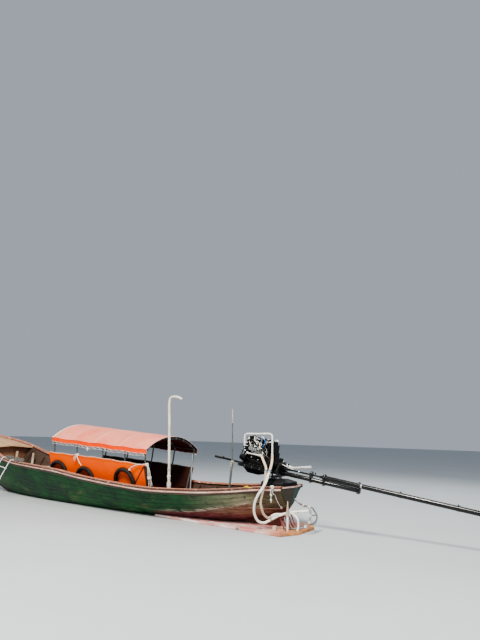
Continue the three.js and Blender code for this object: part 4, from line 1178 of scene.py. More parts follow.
look["canopyPanels"] = canopyMaterial()
rings = canopySheet()
verts, faces = loftRings(rings)
count, edge = len(rings[0]), canopy["edge"]
half = count // 2
marks = []
for i in range(len(faces) - 2):
    step, column = i % count, i // count
    # the inner face takes the dark maroon inside cloth, painted shade under the canopy
    if step >= half:
        marks.append(2)
    elif step < edge + 1 or step >= half - edge - 2:
        marks.append(1)
    elif column > canopy["columns"] - 2:
        marks.append(3)
    else:
        marks.append(0)
marks += [3, 3]
cover = meshPiece("canopy-cloth", verts, faces, look["canopyPanels"], slot="canopy_cloth",
                  replaced=["canopy_cover"], faceMaterials=marks,
                  extraMaterials=[look["valanceOrange"], look["canopyShadedInside"], look["hemWhite"]], sharp=60)


def arcAcross(x):
    points = [canopyPoint(x, canopy["half"] * math.cos(math.pi * k / 44)) for k in range(45)]
    return pathLength(points) + 2 * canopy["valance"]


sum(arcAcross(x) for x in (3.2, 4.6, 6.1)) / 3

# Hoops and legs as round pipes, with clamps at the rails
legFoot, panelLean, panelY, panelAt, panelThick = .4, .32, .86, 1.1, .012
clampProfile = [(0, .001), (.001, .024), (.05, .024), (.051, .001)]
railClamp = [(-.03, .001), (-.029, .0165), (.029, .0165), (.03, .001)]


def panelPlane(z):
    return panelY - panelLean * (panelAt - z)


def legPlane(z):
    return panelPlane(z) - panelThick / 2 - 1.06 * canopy["pipe"] - .0003


parts, clamps = [], []
for x in canopy["hoops"]:
    eave, rise = canopyAt(x)
    arch = []
    for k in range(41):
        y = (canopy["half"] - .014 - canopy["pipe"] - .006) * (1 - 2 * k / 40)
        arch.append(at(x, y, archHeight(x, y) - hoopDrop))
    knee = panelAt - .06
    for side in (1, -1):
        end = arch[0] if side == 1 else arch[-1]
        leg = [at(x, side * legFoot, footLevel + .55 * canopy["pipe"]),
               at(x, side * (legPlane(.5) - .005), .47), at(x, side * legPlane(.56), .56),
               at(x, side * legPlane(knee - .05), knee - .05),
               at(x, side * (legPlane(knee) + .003), knee + .04), end + Vector((0, -side * .002, .004))]
        parts.append(tube(smoothPath(leg, 7), canopy["pipe"], 12, .002))
        clamps.append(spun(clampProfile, end - Vector((0, 0, .045)), end, 14))
        foot = leg[0]
        clamps.append(block(foot + Vector((-.04, -.04, -.009)), foot + Vector((.04, .04, -.005))))
    parts.append(tube(arch, canopy["pipe"], 12, .002))
for y in rails["at"]:
    line = [at(x, y, archHeight(x, y) - rails["below"]) for x in (3.11 + k * .103 for k in range(31))]
    parts.append(tube(line, rails["radius"], 10, .002))
    for x in canopy["hoops"]:
        middle = at(x, y, archHeight(x, y) - rails["below"])
        clamps.append(spun(railClamp, middle, middle + Vector((1, 0, .02)), 12))
joined("canopy-pipes", parts, "darkPole", slot="grey_metal", replaced=["canopy_frame"])
joined("canopy-clamps", clamps, "steel")

# Zigzag lacing from the valance's hem to a rope below it, on both sides
lacing = {"pitch": .095, "drop": .042, "radius": .0036, "rope": .0022}
parts = []
for side in (1, -1):
    x0, x1 = canopy["rear"][0] + .03, canopy["front"][0] - .03
    steps = int((x1 - x0) / lacing["pitch"])
    zig = []
    for k in range(steps + 1):
        x = x0 + (x1 - x0) * k / steps
        low = canopyAt(x)[0] - canopy["valance"] - canopy["sag"] * sagAt(x)
        zig.append(at(x, side * (canopy["half"] + .002), low + (.012 if k % 2 else -lacing["drop"])))
    parts.append(tube(zig, lacing["radius"], 6))
    rope = [at(x, side * (canopy["half"] - .001), canopyAt(x)[0] - canopy["valance"] - lacing["drop"]
               - canopy["sag"] * sagAt(x)) for x in (x0 + (x1 - x0) * k / 120 for k in range(121))]
    parts.append(tube(rope, lacing["rope"], 8))
joined("canopy-lacing", parts, "hemWhite")

# Rope along the valance's hem, and white ties round the hoops
parts = []
for side in (1, -1):
    line = []
    for k in range(161):
        x = canopy["rear"][0] + .004 + (canopy["front"][0] - canopy["rear"][0] - .008) * k / 160
        line.append(at(x, side * (canopy["half"] + .003 + .006 * math.sin(31 * x + side)),
                       canopyAt(x)[0] - canopy["valance"] + .01 - canopy["sag"] * sagAt(x)))
    parts.append(tube(line, .004, 8))
joined("valance-rope", parts, "lashing")
parts = []
ties = {"at": (-.7, -.42, -.14, .14, .42, .7), "cord": .003}
for x in canopy["hoops"]:
    for y in ties["at"]:
        z = archHeight(x, y) - hoopDrop
        ring = [at(x + .004 * math.cos(2 * a), y + .024 * math.cos(a) * .3, z + .0225 * math.sin(a) + .002)
                + Vector((.022 * math.cos(a), 0, 0)) for a in (2 * math.pi * k / 14 for k in range(14))]
        parts.append(tube(ring + ring[:1], ties["cord"], 6))
joined("hoop-ties", parts, "hemWhite")
print("canopy ready")


# Side panels: tarpaulin stretched from its top rope down to the gunwale, with a hem and folds
panels = {"from": 3.11, "to": 6.28, "foot": .5, "thick": .004, "rows": 22, "columns": 96, "rope": .0062,
          "whipping": .0027, "whippings": 25, "strip": .075,
          "port": ((3.11, 1.03), (4.5, 1.115), (6.28, 1.18)),
          "starboard": ((3.11, .935), (4.5, 1.005), (6.28, 1.08))}


def panelTop(word, x):
    corners = panels[word]
    for (xa, za), (xb, zb) in zip(corners, corners[1:]):
        if x <= xb:
            return za + (zb - za) * (x - xa) / (xb - xa)
    return corners[-1][1]


def panelSkin(word, side, x, share):
    top = panelTop(word, x)
    z = panels["foot"] + (top - panels["foot"]) * share
    dip = .01 * math.sin(math.pi * ((x - panels["from"]) / .53 % 1)) ** 2 * share ** 4
    wave = .0042 * noise.noise(Vector((x * 1.7, z * 2.3 + 9 * side, 1.5))) * (1 - share ** 6)
    wave += .0016 * noise.noise(Vector((x * 9.0, z * 5.0, 3.5 + side)))
    return at(x, side * (panelPlane(z) + wave), z - dip)


# One column of the panel from foot to top, moved outwards
def panelColumn(word, side, x, out=0.0):
    return [panelSkin(word, side, x, k / panels["rows"]) + Vector((0, side * out, 0))
            for k in range(panels["rows"] + 1)]


for word, side in (("port", 1), ("starboard", -1)):
    rings = []
    for i in range(panels["columns"] + 1):
        x = panels["from"] + (panels["to"] - panels["from"]) * i / panels["columns"]
        column = panelColumn(word, side, x)
        out = Vector((0, side * panels["thick"] / 2, 0))
        # the top is hemmed round its rope
        roll = [column[-1] + Vector((0, side * .009 * math.cos(a), .009 * math.sin(a)))
                for a in (-.9, .2, 1.2, 1.9, 2.9, 4.0)]
        rings.append([p + out for p in column[:-1]] + roll + [p - out for p in column[-2::-1]])
    verts, faces = loftRings(rings)
    around = len(rings[0])
    # the inner face takes the near-black inside cloth, painted shade
    marks = [0 if i % around < panels["rows"] + 3 or i % around == around - 1 else 1
             for i in range(len(faces) - 2)] + [0, 0]
    tarp = meshPiece(f"side-panel-{word}", verts, faces, look["tarpOrange"], slot="orange_sheet",
                     replaced=[f"side_panel_{word}"], sharp=70, faceMaterials=marks,
                     extraMaterials=[look["tarpShadedInside"]])
    # dark edge strip at the aft end, a rope along the top and whipping round it
    parts = []
    strip = []
    for x in (panels["from"] + .001, panels["from"] + panels["strip"]):
        strip.append(panelColumn(word, side, x, .0035) + panelColumn(word, side, x, .0065)[::-1])
    joined(f"panel-edge-{word}", [loftRings(strip)], "darkStrap")
    topLine = [panelSkin(word, side, panels["from"] + .02 + (panels["to"] - panels["from"] - .04) * k / 150,
                         1.0) + Vector((0, 0, .0135)) for k in range(151)]
    parts.append(tube(topLine, panels["rope"], 8))
    for k in range(panels["whippings"]):
        centre = topLine[3 + 6 * k]
        coil = []
        for n in range(19):
            a = 2 * math.pi * n / 9
            coil.append(centre + Vector((.004 * (n - 9) / 2 + .002, side * .0125 * math.cos(a),
                                         -.006 + .0165 * math.sin(a))))
        parts.append(tube(coil, panels["whipping"], 6))
    joined(f"panel-rope-{word}", parts, "lashing")

# Diagonal strap over the port panel's aft end
strapSize = {"ends": ((3.19, .93), (3.6, .06)), "half": .013, "under": .0045, "over": .0075}
corners = [(-1, "under"), (1, "under"), (1, "over"), (-1, "over")]
strap = [[panelSkin("port", 1, x + way * strapSize["half"], share) + Vector((0, strapSize[face], 0))
          for way, face in corners] for x, share in strapSize["ends"]]
between = [[a.lerp(b, k / 8) + Vector((0, .002 * math.sin(math.pi * k / 8), 0)) for a, b in zip(*strap)]
           for k in range(1, 8)]
joined("panel-strap", [loftRings([strap[0]] + between + [strap[1]])], "darkStrap")
print("side panels ready")


# Tyres: worn tread blocks round the outside, bead and sidewall ribs, leaning on the port panel
tyres = {"centre": .264, "depth": .046, "section": .042, "around": 28, "lean": math.atan(panelLean),
         "segments": 72, "places": ((5.96, .716), (5.045, .618), (3.78, .66))}


def tyreProfile(groove):
    points = []
    for k in range(tyres["around"]):
        a = 2 * math.pi * k / tyres["around"]
        r, w = tyres["depth"] * math.cos(a), tyres["section"] * math.sin(a)
        if math.cos(a) > .55:
            r -= .0035 if groove else 0
            r -= .003 if k in (1, 27, 3, 25) else 0
        # an open bead on the inside of the ring
        if math.cos(a) < -.8:
            r += .014
        r += .0016 * (k % 7 == 2)
        points.append((tyres["centre"] + r, w))
    return points


for index, (x, z) in enumerate(tyres["places"]):
    rings = []
    out = panelThick / 2 + (tyres["section"] * .9239 + .0003) * math.hypot(1, panelLean)
    centre = at(x, panelPlane(z) + out, z)
    turn = Matrix.Rotation(-tyres["lean"], 3, "X")
    for s in range(tyres["segments"] * 3):
        angle = 2 * math.pi * s / (tyres["segments"] * 3) + index
        ring = []
        for r, w in tyreProfile(s % 3 == 0):
            flat = Vector((r * math.cos(angle), w, r * math.sin(angle)))
            ring.append(centre + turn @ flat)
        rings.append(ring)
    joined(f"tyre-{index + 1}-ring", [loftRings(rings, closed=True)], "rubber", slot="tyre_rubber",
           replaced=[f"tyre_{index + 1}"], sharp=28)
print("tyres ready")


# Turns of cord round a line through centre
def wound(centre, axis, radius, turns, pitch, thick, sides=6):
    perTurn = 12
    axis = Vector(axis).normalized()
    side = axis.orthogonal().normalized()
    up = axis.cross(side)
    coil = []
    for n in range(int(turns * perTurn) + 1):
        a = 2 * math.pi * n / perTurn
        coil.append(Vector(centre) + axis * (pitch * n / perTurn - pitch * turns / 2)
                    + (radius + .0006 * math.sin(5 * n)) * (math.cos(a) * side + math.sin(a) * up))
    return tube(coil, thick, sides)


# Poles at the port side: the gooseneck, a thin post and the stern pole, with their lashings
poles = {"gooseneck": .026, "thin": .012, "stern": .021}
poleY = hullAt(2.44)[1] - rail["inboard"] - poles["gooseneck"] - .0003
bend = [at(2.44, poleY, .565), at(2.47, poleY, 1.0), at(2.508, poleY, 1.5), at(2.545, poleY, 2.0),
        at(2.572, poleY, 2.34), at(2.545, poleY, 2.43), at(2.48, poleY, 2.452), at(2.38, poleY, 2.447),
        at(2.3, poleY, 2.425), at(2.245, poleY, 2.395)]
joined("gooseneck-pipe", [tube(smoothPath(bend, 8), poles["gooseneck"], 18, .004)], "creamPaint",
       slot="white_paint", replaced=["gooseneck_pole"])
parts = [tube([at(1.905, .85, onCap(1.905, .0359)), at(1.898, .85, .98),
               at(1.89, .85, 1.3)], poles["thin"], 12, .004),
         spun([0, (.001, .03), (.006, .03), (.008, .015), (.03, .015), .031],
              at(1.905, .85, onCap(1.905, .0355)), at(1.904, .85, .8), 16)]
joined("thin-post-rod", parts, "galvanised", slot="grey_metal", replaced=["thin_post"])
parts = [tube([at(1.075, .725, onCap(.95)), at(1.052, .725, 1.0),
               at(1.03, .725, 1.235)], [poles["stern"], poles["stern"], .019], 14, .004),
         tube([at(1.034, .725, 1.2), at(1.04, .725, 1.5), at(1.05, .726, 1.85),
               at(1.06, .725, 2.19)], [.0125, .0118, .0105, .009], 12, .003)]
joined("stern-pole-stick", parts, "darkPole", slot="bare_wood", replaced=["stern_pole"])
joined("pole-top-rod", [tube([at(1.0525, .7255, 1.93), at(1.0565, .7255, 2.06),
                              at(1.0603, .725, 2.192)], [.0135, .0125, .011], 12, .002),
                        tube([at(1.095, .7, onCap(1.05, .0359)), at(1.06, .69, 1.04),
                              at(1.024, .69, 1.226)], .01, 10, .002)], "poleWood")

poleWay = (.074, 0, 1)


# A point on the gooseneck's straight leg
def onGooseneck(z):
    return at(2.44 + .135 * (z - .565) / (2.38 - .565), poleY, z)


# Turns of cord round the gooseneck and the joint of the stern pole
parts = []
for z, turns in ((.735, 4), (.8, 3), (.985, 5), (1.46, 2)):
    parts.append(wound(onGooseneck(z), poleWay, .0292, turns, .0075, .0034))
for x, y, z, r in ((1.052, .725, 1.13, .024), (1.047, .725, 1.17, .023), (1.033, .725, 1.215, .022)):
    parts.append(wound(at(x, y, z), (-.15, 0, 1), r, 4, .007, .0032))
joined("pole-lashings", parts, "lashing")
parts = [spun([(0, .002), (.001, .031), (.03, .033), (.031, .002)], at(2.443, poleY, .64),
              at(2.446, poleY, .69), 20)]
joined("pole-collar", parts, "steel")

# Ladder: stiles hooked over the gunwale and rungs between them
ladder = {"stile": .012, "rung": .01, "top": ((7.64, 1.005), (8.05, .965)), "tilt": .01,
          "foot": ((7.74, 1.42, -.06), (8.15, 1.37, -.03)), "rungs": (.2, .45, .7, .92)}
tops = [Vector((x, y, onCap(x, .0353) + ladder["tilt"])) for x, y in ladder["top"]]
feet = [Vector(p) for p in ladder["foot"]]
parts, caps = [], []
for top, foot in zip(tops, feet):
    bent = [top + Vector((-.02, -.15, .014)), top + Vector((-.006, -.045, .0055)),
            top + Vector((-.001, -.008, -.003)), top.lerp(foot, .06), top.lerp(foot, .3), top.lerp(foot, .65),
            foot]
    parts.append(tube(curve(bent, 6), ladder["stile"], 14, .003))
    caps.append(spun([0, (.001, .0195), (.07, .0185), .071], at(*foot.lerp(top, -.004)), at(*top), 16))
for share in ladder["rungs"]:
    a, b = at(*tops[0].lerp(feet[0], share)), at(*tops[1].lerp(feet[1], share))
    parts.append(tube([a, a.lerp(b, .5), b], ladder["rung"], 12))
    for end, other in ((a, b), (b, a)):
        caps.append(spun([-.019, (-.018, .0165), (.028, .0145), .03], end, other, 14))
joined("ladder-tubes", parts, "whitePaint", slot="white_paint", replaced=["ladder"])
joined("ladder-joints", caps, "paleBlue")

# Guard hoops at the stern, the white post and the water pipe with its elbows
guard = {"thick": .0175, "thin": .0145, "brace": .013}
hoops = [([(.06, .21, .058), (-.12, .21, .0925), (-.26, .21, .135), (-.325, .205, .22), (-.344, .2, .33),
           (-.337, .192, .42), (-.3, .175, .463), (-.18, .12, .478), (-.06, .06, .497), (.0, .04, .53),
           (.05, .02, .56)], guard["thick"]),
         ([(.06, -.21, .058), (-.1, -.21, .0935), (-.24, -.207, .135), (-.3, -.18, .205), (-.325, -.14, .29),
           (-.318, -.07, .36), (-.303, .0, .43), (-.315, .1, .452), (-.335, .19, .458)], guard["thin"]),
         ([(-.345, .2, .33), (-.337, .08, .318), (-.325, -.155, .3)], guard["brace"])]
joined("stern-guard-hoops", [tube(curve(path, 6), r, 12, .003) for path, r in hoops], "galvanised",
       slot="grey_metal", replaced=["stern_guard"])
joined("white-post-tube", [tube([at(.05, .33, .0453), at(.0495, .33, .2),
                                 at(.049, .33, .29)], [.021, .021, .02], 18, .002)], "whitePaint",
       slot="white_paint", replaced=["white_post"])
joined("white-post-peg", [tube([at(.049, .33, .286), at(.048, .33, .42),
                                at(.047, .33, .545)], [.0235, .02, .009], 16, .003)], "poleWood")
runs = [([Vector(p) for p in tailPath], .023), ([Vector(p) for p in branchPath], .023),
        ([Vector(p) for p in ((.003, .26, .352), (-.06, .247, .3), (-.105, .25, .262), (-.131, .252, .193),
                              (-.124, .252, .12), (-.113, .252, .049))], .02)]
parts = [tube(curve(path, 8), r, 16, .002) for path, r in runs]
joined("water-pipe-run", parts, "whiteHose", slot="white_paint", replaced=["water_pipe"])
bands = []
bandProfile = [(-.008, .001), (-.0075, .0262), (.0075, .0262), (.008, .001)]
for path, distances in ((tailPath, (.004, .14, .3, .52)), (branchPath, (.004, .12))):
    for distance in distances:
        walked = 0
        for a, b in zip(path, path[1:]):
            step = (b - a).length
            if walked + step >= distance:
                middle = a.lerp(b, (distance - walked) / step)
                bands.append(spun(bandProfile, at(*middle), at(*(middle + (b - a))), 18))
                bands.append(block(at(*(middle + Vector((-.007, -.005, .0245)))),
                                   at(*(middle + Vector((.007, .005, .034))))))
                break
            walked += step
for name, (points, _, _, _) in routes.items():
    if "lower" in name:
        end = ahead([points[-1], points[-2]], 0)
        bands.append(spun([-.018, (-.0175, .0262), (-.004, .0262), -.0035], at(*end),
                          at(*(end + (points[-1] - points[-2]))), 18))
joined("hose-clamps", bands, "chrome")
print("poles, ladder and stern pipes ready")


# Swivel: turntable, yoke with bolts, and the clip with the two hose unions
swivel = {"x": .455, "top": .9053, "pin": 1.045}
parts = [spun([0, (.0005, .11), (.008, .11), (.011, .098), (.022, .096), (.0225, .108), (.0295, .108), .03],
              at(swivel["x"], 0, swivel["top"]), at(swivel["x"], 0, 1.0), 56)]
joined("swivel-turntable", parts, "steel", slot="grey_metal", replaced=["swivel_base"])
dressed("swivel_yoke", "swivel-yoke-plates", look["blackPaint"], .003, "swivel")
spots = [(at(swivel["x"] + x, y, .9608),
          Vector((0, 0, 1))) for x in (-.042, .042) for y in (-.2, -.07, .07, .2)]
spots += [(at(swivel["x"] + x, side * .272, swivel["pin"] + z),
           Vector((0, side, 0))) for side in (1, -1) for x, z in ((-.035, -.05), (.035, -.05), (-.03, .01),
                                                                  (.03, .01))]
studs("yoke-bolts", spots, .011, .012, look["steel"], "swivel")
parts = []
for middle, way in unions:
    parts.append(spun([-.035, (-.0348, .0262), (-.031, .0282), (-.012, .0282), (-.011, .0315), (.011, .0315),
                       (.012, .0282), (.031, .0282), (.0348, .0262), .035], at(*middle),
                      at(*(middle + way)), 28))
parts.append(tube([at(*unions[0][0]), at(*unions[1][0])], .012, 12))
parts.append(tube(curve([(.455, .2723, .985), (.455, .305, .985), (.4545, .332, .989), (.4505, .39, 1.012),
                         tuple(unions[1][0])], 6), .014, 14))
parts.append(spun([0, (.0003, .034), (.006, .034), (.008, .016), .009], at(.455, .2723, .985),
                  at(.455, .4, .985), 20))
joined("hose-clip-unions", parts, "galvanised", body="swivel", slot="grey_metal", replaced=["hose_clip"])
print("swivel ready")


# Trim across the transom at the height of the strakes, braces on the board and a pale chock
def transomFace(y, z):
    return .06 + .15 * abs(y) + .19 * (.803 - z)


endHalf = hullAt(0)[1] + .01
trimShape = [(.758, 0), (.76, .016), (.767, .019), (.793, .019), (.8015, .015), (.8015, 0)]
verts, faces = loftRings([[at(transomFace(y, z) + .002 - out, y, z) for z, out in trimShape]
                          for y in (endHalf - 2 * endHalf * k / 24 for k in range(25))])
marks = [1 if i % 6 == 2 else 0 for i in range(len(faces) - 2)] + [0, 0]
meshPiece("transom-trim", verts, faces, look["railDark"], faceMaterials=marks,
          extraMaterials=[look["strakePink"]])
bevelled(meshPiece("transom-corner", *block(at(transomFace(endHalf, .77) - .024, -endHalf - .03, .738),
                                            at(transomFace(endHalf, .77) + .03, .04 - endHalf, .8015)),
                   look["bedWood"]), .004)
parts = []
for y in (.335, .255, .16, .06, -.06):
    face = transomFace(y, .25)
    parts.append(tube(curve([(face - .004, y, .262), (face - .03, y, .225), (face - .055, y + .006, .16),
                             (face - .1, y + .01, .095), (face - .15, y + .012, .055)], 5), .0125, 10, .003))
joined("board-braces", parts, "redBrace")
bevelled(meshPiece("board-chock", *block(at(.205, .425, .0462), at(.275, .485, .125)), look["soleWood"]),
         .005)


# Ropes. Each is a line of points with a knot or two wound round it.
def ropeLine(points, radius, steps=6):
    return tube(curve(points, steps), radius, 8)


def knot(x, y, z, r, thick, way=(.3, .2, 1)):
    return gather([wound(at(x, y, z), way, r, 3, thick * 1.6, thick),
                   wound(at(x, y, z), (1, .6, .1), r * .9, 2, thick * 1.7, thick)])


def besideHull(x, share, out):
    y, z = skin(x, share, -out)
    return place(x, y, z)


sheer, beam, _, _ = hullAt(.145)
edge = place(.145, beam + .046, sheer + .022)
down = [besideHull(.14, 1 - .083 * k, .052 if k < 2 else .014) for k in range(1, 10)]
parts = [knot(edge[0], edge[1], edge[2] + .006, .022, .01), ropeLine([edge] + down, .008),
         knot(*down[-1], .014, .008)]
joined("transom-line", parts, "whiteRope")
hang = [(edge[0] + .012, edge[1] + .004, edge[2] - .004)] + [
    (edge[0] + .02 + .004 * k, edge[1] + .016 - .01 * k, edge[2] - .045 * k) for k in range(1, 7)]
path = curve(hang, 4)
knots = joined("transom-rope-knots", [knot(*hang[3], .012, .008), knot(*hang[5], .01, .007)], "whiteRope")
piece = joined("transom-rope-end", [tube(path, .0085, 8)], "whiteRope")
top = onCap(.65)
path = curve([(.56, .792, top + .009), (.6, .8, top + .016), (.645, .798, top + .021), (.69, .79, top + .021),
              (.725, .765, top + .015), (.715, .722, top + .009), (.67, .705, top + .009)], 4)
knots = meshPiece("yellow-rope-knot", *knot(.65, .79, top + .02, .013, .0065, (1, 0, .2)), look["yellowRope"])
piece = joined("yellow-rope", [tube(path, .0075, 8)], "yellowRope")

# On the port panel: a knot with short ends by the second tyre, a line at the aft corner, and a hank
parts = [knot(5.225, .9, 1.16, .026, .011),
         ropeLine([(5.225, .915, 1.15), (5.18, .925, 1.09), (5.12, .915, 1.0), (5.075, .885, .93)], .01),
         ropeLine([(5.235, .915, 1.15), (5.29, .925, 1.105), (5.33, .915, 1.05)], .009),
         ropeLine([(5.23, .92, 1.14), (5.27, .92, 1.075), (5.285, .905, 1.02)], .008)]
joined("tyre-knot", parts, "whiteRope")
parts = [knot(3.052, .88, 1.056, .026, .01),
         ropeLine([(3.06, .892, 1.062), (3.22, .888, 1.05), (3.38, .882, 1.025), (3.51, .88, .965),
                   (3.56, .868, .915)], .0085),
         knot(3.555, .87, .925, .014, .008)]
joined("panel-line", parts, "whiteRope")
for index, (shift, low) in enumerate(((0, .6), (.035, .56), (-.03, .64))):
    hang = [(3.03 + .3 * shift, .892, 1.045), (2.99 + .6 * shift, .902, .98), (2.962 + shift, .898, .88),
            (2.945 + shift, .882, .76), (2.93 + shift, .868, low + .05), (2.918 + shift, .864, low)]
    path = curve(hang, 4)
    piece = joined(f"hank-strand-{index + 1}", [tube(path, .0085, 8)], "lashing")
foot = onCap(3.055)
joined("panel-post", [tube([at(3.055, .815, foot), at(3.055, .832, .8),
                            at(3.055, .868, 1.062)], [.026, .025, .024], 14, .004)], "bedWood")
parts = [wound(at(2.953, .888, .8), (.02, .1, 1), .036, 3, .016, .0075),
         spun([0, (.004, .016), (.02, .028), (.075, .03), (.095, .018), .1], at(4.92, .88, 1.262),
              at(4.925, .88, 1.5), 20)]
joined("hank-turns-float", parts, "whiteRope")

# Turns of cord round the foot of the gooseneck and the corners of the guard hoops
parts = []
for z, r, turns in ((.64, .034, 5), (.705, .037, 6), (.86, .031, 4)):
    parts.append(wound(onGooseneck(z), poleWay, r, turns, .0105, .0058))
for x, y, z, way in ((-.3, .175, .463, (.8, .6, -.1)), (-.18, .12, .478, (.9, .4, -.1)),
                     (-.344, .2, .33, (0, 0, 1)), (-.325, .205, .22, (0, 0, 1)),
                     (-.12, .21, .0925, (1, 0, -.2)), (-.26, .21, .135, (1, 0, -.4))):
    parts.append(wound(at(x, y, z), way, .0215, 4, .011, .0055))
joined("pole-guard-turns", parts, "whiteRope")

# Dark rope lies on the port cap in two long coils, one on each side of the ladder's aft stile
coil = {"radius": .0115, "bend": .048, "step": 14, "turns": 3, "places": ((7.845, .15), (7.39, .195))}
for index, (middle, half) in enumerate(coil["places"]):
    path = []
    for n in range(coil["step"] * coil["turns"]):
        a = 2 * math.pi * n / coil["step"]
        x = middle + (half - coil["bend"]) * max(-1, min(1, 1.6 * math.cos(a))) + coil["bend"] * math.cos(a)
        sheer, beam, _, _ = hullAt(x)
        path.append(at(x, beam - .0165 + (coil["bend"] - .0001 * n) * math.sin(a),
                       sheer + .0367 + coil["radius"] * (1 + 2.05 * n / coil["step"])))
    piece = joined(f"bow-coil-{index + 1}", [tube(path, coil["radius"], 8)], "darkRope")
print("trim and ropes ready")


# The engine. Its parts are measured in its own axes: x forward along the shaft, y to port, z square to it.
crankUp, shaftUp = .115, .075


def fitted(parts):
    verts, faces = gather(parts)
    return [onEngine(*v) for v in verts], faces


def enginePiece(name, parts, finish, body="engine", **rest):
    verts, faces = fitted(parts)
    return meshPiece(name, verts, faces, look[finish], body=body, **rest)


def localStuds(name, spots, radius, height, finish="steel", sides=6):
    turned = []
    for spot, way in spots:
        origin = onEngine(*spot)
        turned.append((origin, onEngine(*(Vector(spot) + Vector(way))) - origin))
    return studs(name, turned, radius, height, look[finish], "engine", sides)


dressed("engine_frame", "engine-frame-rails", look["blackPaint"], .003, "engine")
localStuds("frame-bolts", [((x, side * .239, z), (0, side, 0)) for side in (1, -1)
                           for x in (.05, .26, .43, .6, .74) for z in (-.015, .014)]
           + [((-.126, y, z), (-1, 0, 0)) for y, z in ((-.21, -.02), (.21, -.02), (-.21, .015), (.21, .015),
                                                       (-.1, -.045), (.1, -.045), (-.09, .165), (.09, .165))],
           .009, .01)

# Bell housing: a cone with ribs and a bolted flange
parts = [spun([-.0947, (-.0945, .08), (-.06, .083), (.008, .11), (.02, .122), (.08, .172), (.085, .185),
               (.1395, .185), .14], (0, 0, crankUp), "x", 56)]
for k in range(12):
    a = 2 * math.pi * (k + .5) / 12
    way, across = Vector((0, math.cos(a), math.sin(a))), Vector((0, -math.sin(a), math.cos(a))) * .005
    base = Vector((0, 0, crankUp))
    outline = [(-.055, .08), (-.055, .096), (.0, .118), (.082, .183), (.082, .16), (.0, .095)]
    rings = [[base + Vector((x, 0, 0)) + way * r + across * s for x, r in outline] for s in (-1, 1)]
    parts.append(loftRings(rings))
enginePiece("bell-housing-cone", parts, "castIron", slot="engine_black", replaced=["bell_housing"])
localStuds("bell-bolts", [((.084, .175 * math.cos(a), crankUp + .175 * math.sin(a)), (-1, 0, 0))
                          for a in (2 * math.pi * k / 14 for k in range(14))], .008, .016)

# Block: cylinder bulges, webs, core plugs, side covers and the pump on the port side
engineBox = {"x": (.1403, .7), "cylinders": (.225, .355, .485, .615)}
x0, x1 = engineBox["x"]
parts = [block((x0, -.148, .06), (x1, .148, .389)), block((x0, -.16, .0205), (x1, .16, .062)),
         block((x0, -.158, .352), (x1, .158, .39)), block((x0, -.16, .062), (x0 + .03, .16, .388)),
         block((x1 - .03, -.16, .062), (x1, .16, .388))]
for x in engineBox["cylinders"]:
    for side in (1, -1):
        parts.append(spun([0, (.0005, .052), (.285, .052), .286], (x, side * .106, .064), "z", 28))
for k in range(7):
    x = .205 + k * .075
    for side in (1, -1):
        low, high = sorted((side * .147, side * .156))
        parts.append(block((x - .004, low, .065), (x + .004, high, .35)))
for z in (.12, .2, .28):
    for side in (1, -1):
        low, high = sorted((side * .147, side * .1535))
        parts.append(block((.17, low, z - .004), (.67, high, z + .004)))
parts.append(block((.17, -.189, .125), (.42, -.157, .296)))
parts.append(block((.44, -.186, .135), (.68, -.157, .25)))
enginePiece("engine-block-body", parts, "castIron", slot="engine_black", replaced=["engine_block"])
parts = [spun([0, (.0005, .019), (.006, .021), (.0065, .016), (.004, .014), .0041], (x, side * .157, z),
              (x, side, z), 20) for x in (.29, .42, .55) for z in (.24,) for side in (1, -1)]
enginePiece("core-plugs", parts, "darkAlloy")
localStuds("cover-bolts", [((x, -.19, z), (0, -1, 0)) for x in (.185, .295, .405) for z in (.14, .282)]
           + [((x, -.187, z), (0, -1, 0)) for x in (.455, .56, .665) for z in (.15, .236)]
           + [((x, side * .161, .041), (0, side, 0)) for side in (1, -1)
              for x in (.17, .26, .35, .44, .53, .62, .68)], .007, .009)

# Injection pump, its governor and delivery lines to the injectors
pump = {"outlets": (.245, .285, .325, .365), "low": .298, "high": .32, "stepAt": .33}


def outletTop(x):
    return pump["low"] if x < pump["stepAt"] else pump["high"]


parts = [block((.205, .15, .212), (.33, .196, .3)), block((.334, .152, .218), (.418, .194, .322)),
         spun([0, (.001, .03), (.05, .03), (.052, .022), (.07, .02), .071], (.418, .174, .262), "x", 24),
         spun([0, (.001, .014), (.04, .014), (.042, .009), (.055, .009), .056], (.27, .196, .235), "y", 16)]
for x in pump["outlets"]:
    parts.append(spun([0, (.0005, .009), (.02, .009), (.021, .0065), (.034, .0065), .035],
                      (x, .172, outletTop(x)), "z", 12))
enginePiece("injection-pump", parts, "darkAlloy")
parts, nuts = [], []
for k, (x, cylinder) in enumerate(zip(pump["outlets"], engineBox["cylinders"])):
    top = outletTop(x) + .035
    line = smoothPath([(x, .172, top), (x, .178, top + .035), (x + .02 * (k - 1.5), .196 + .004 * k,
                                                               .41 + .012 * k),
                       (.5 * (x + cylinder), .2 - .006 * k, .475 + .008 * k), (cylinder, .15, .548),
                       (cylinder + .004, .112, .562), (cylinder, .1, .548)], 6)
    parts.append(tube(line, .0042, 8))
    nuts.append(spun([-.004, (-.0035, .0085), (.01, .0085), .0105], (x, .172, top), "z", 6))
    nuts.append(spun([0, (.0005, .0125), (.045, .0125), (.046, .009), (.06, .009), .061],
                     (cylinder, .1, .492), "z", 14))
enginePiece("delivery-lines", parts, "chrome")
enginePiece("injectors", nuts, "steel")

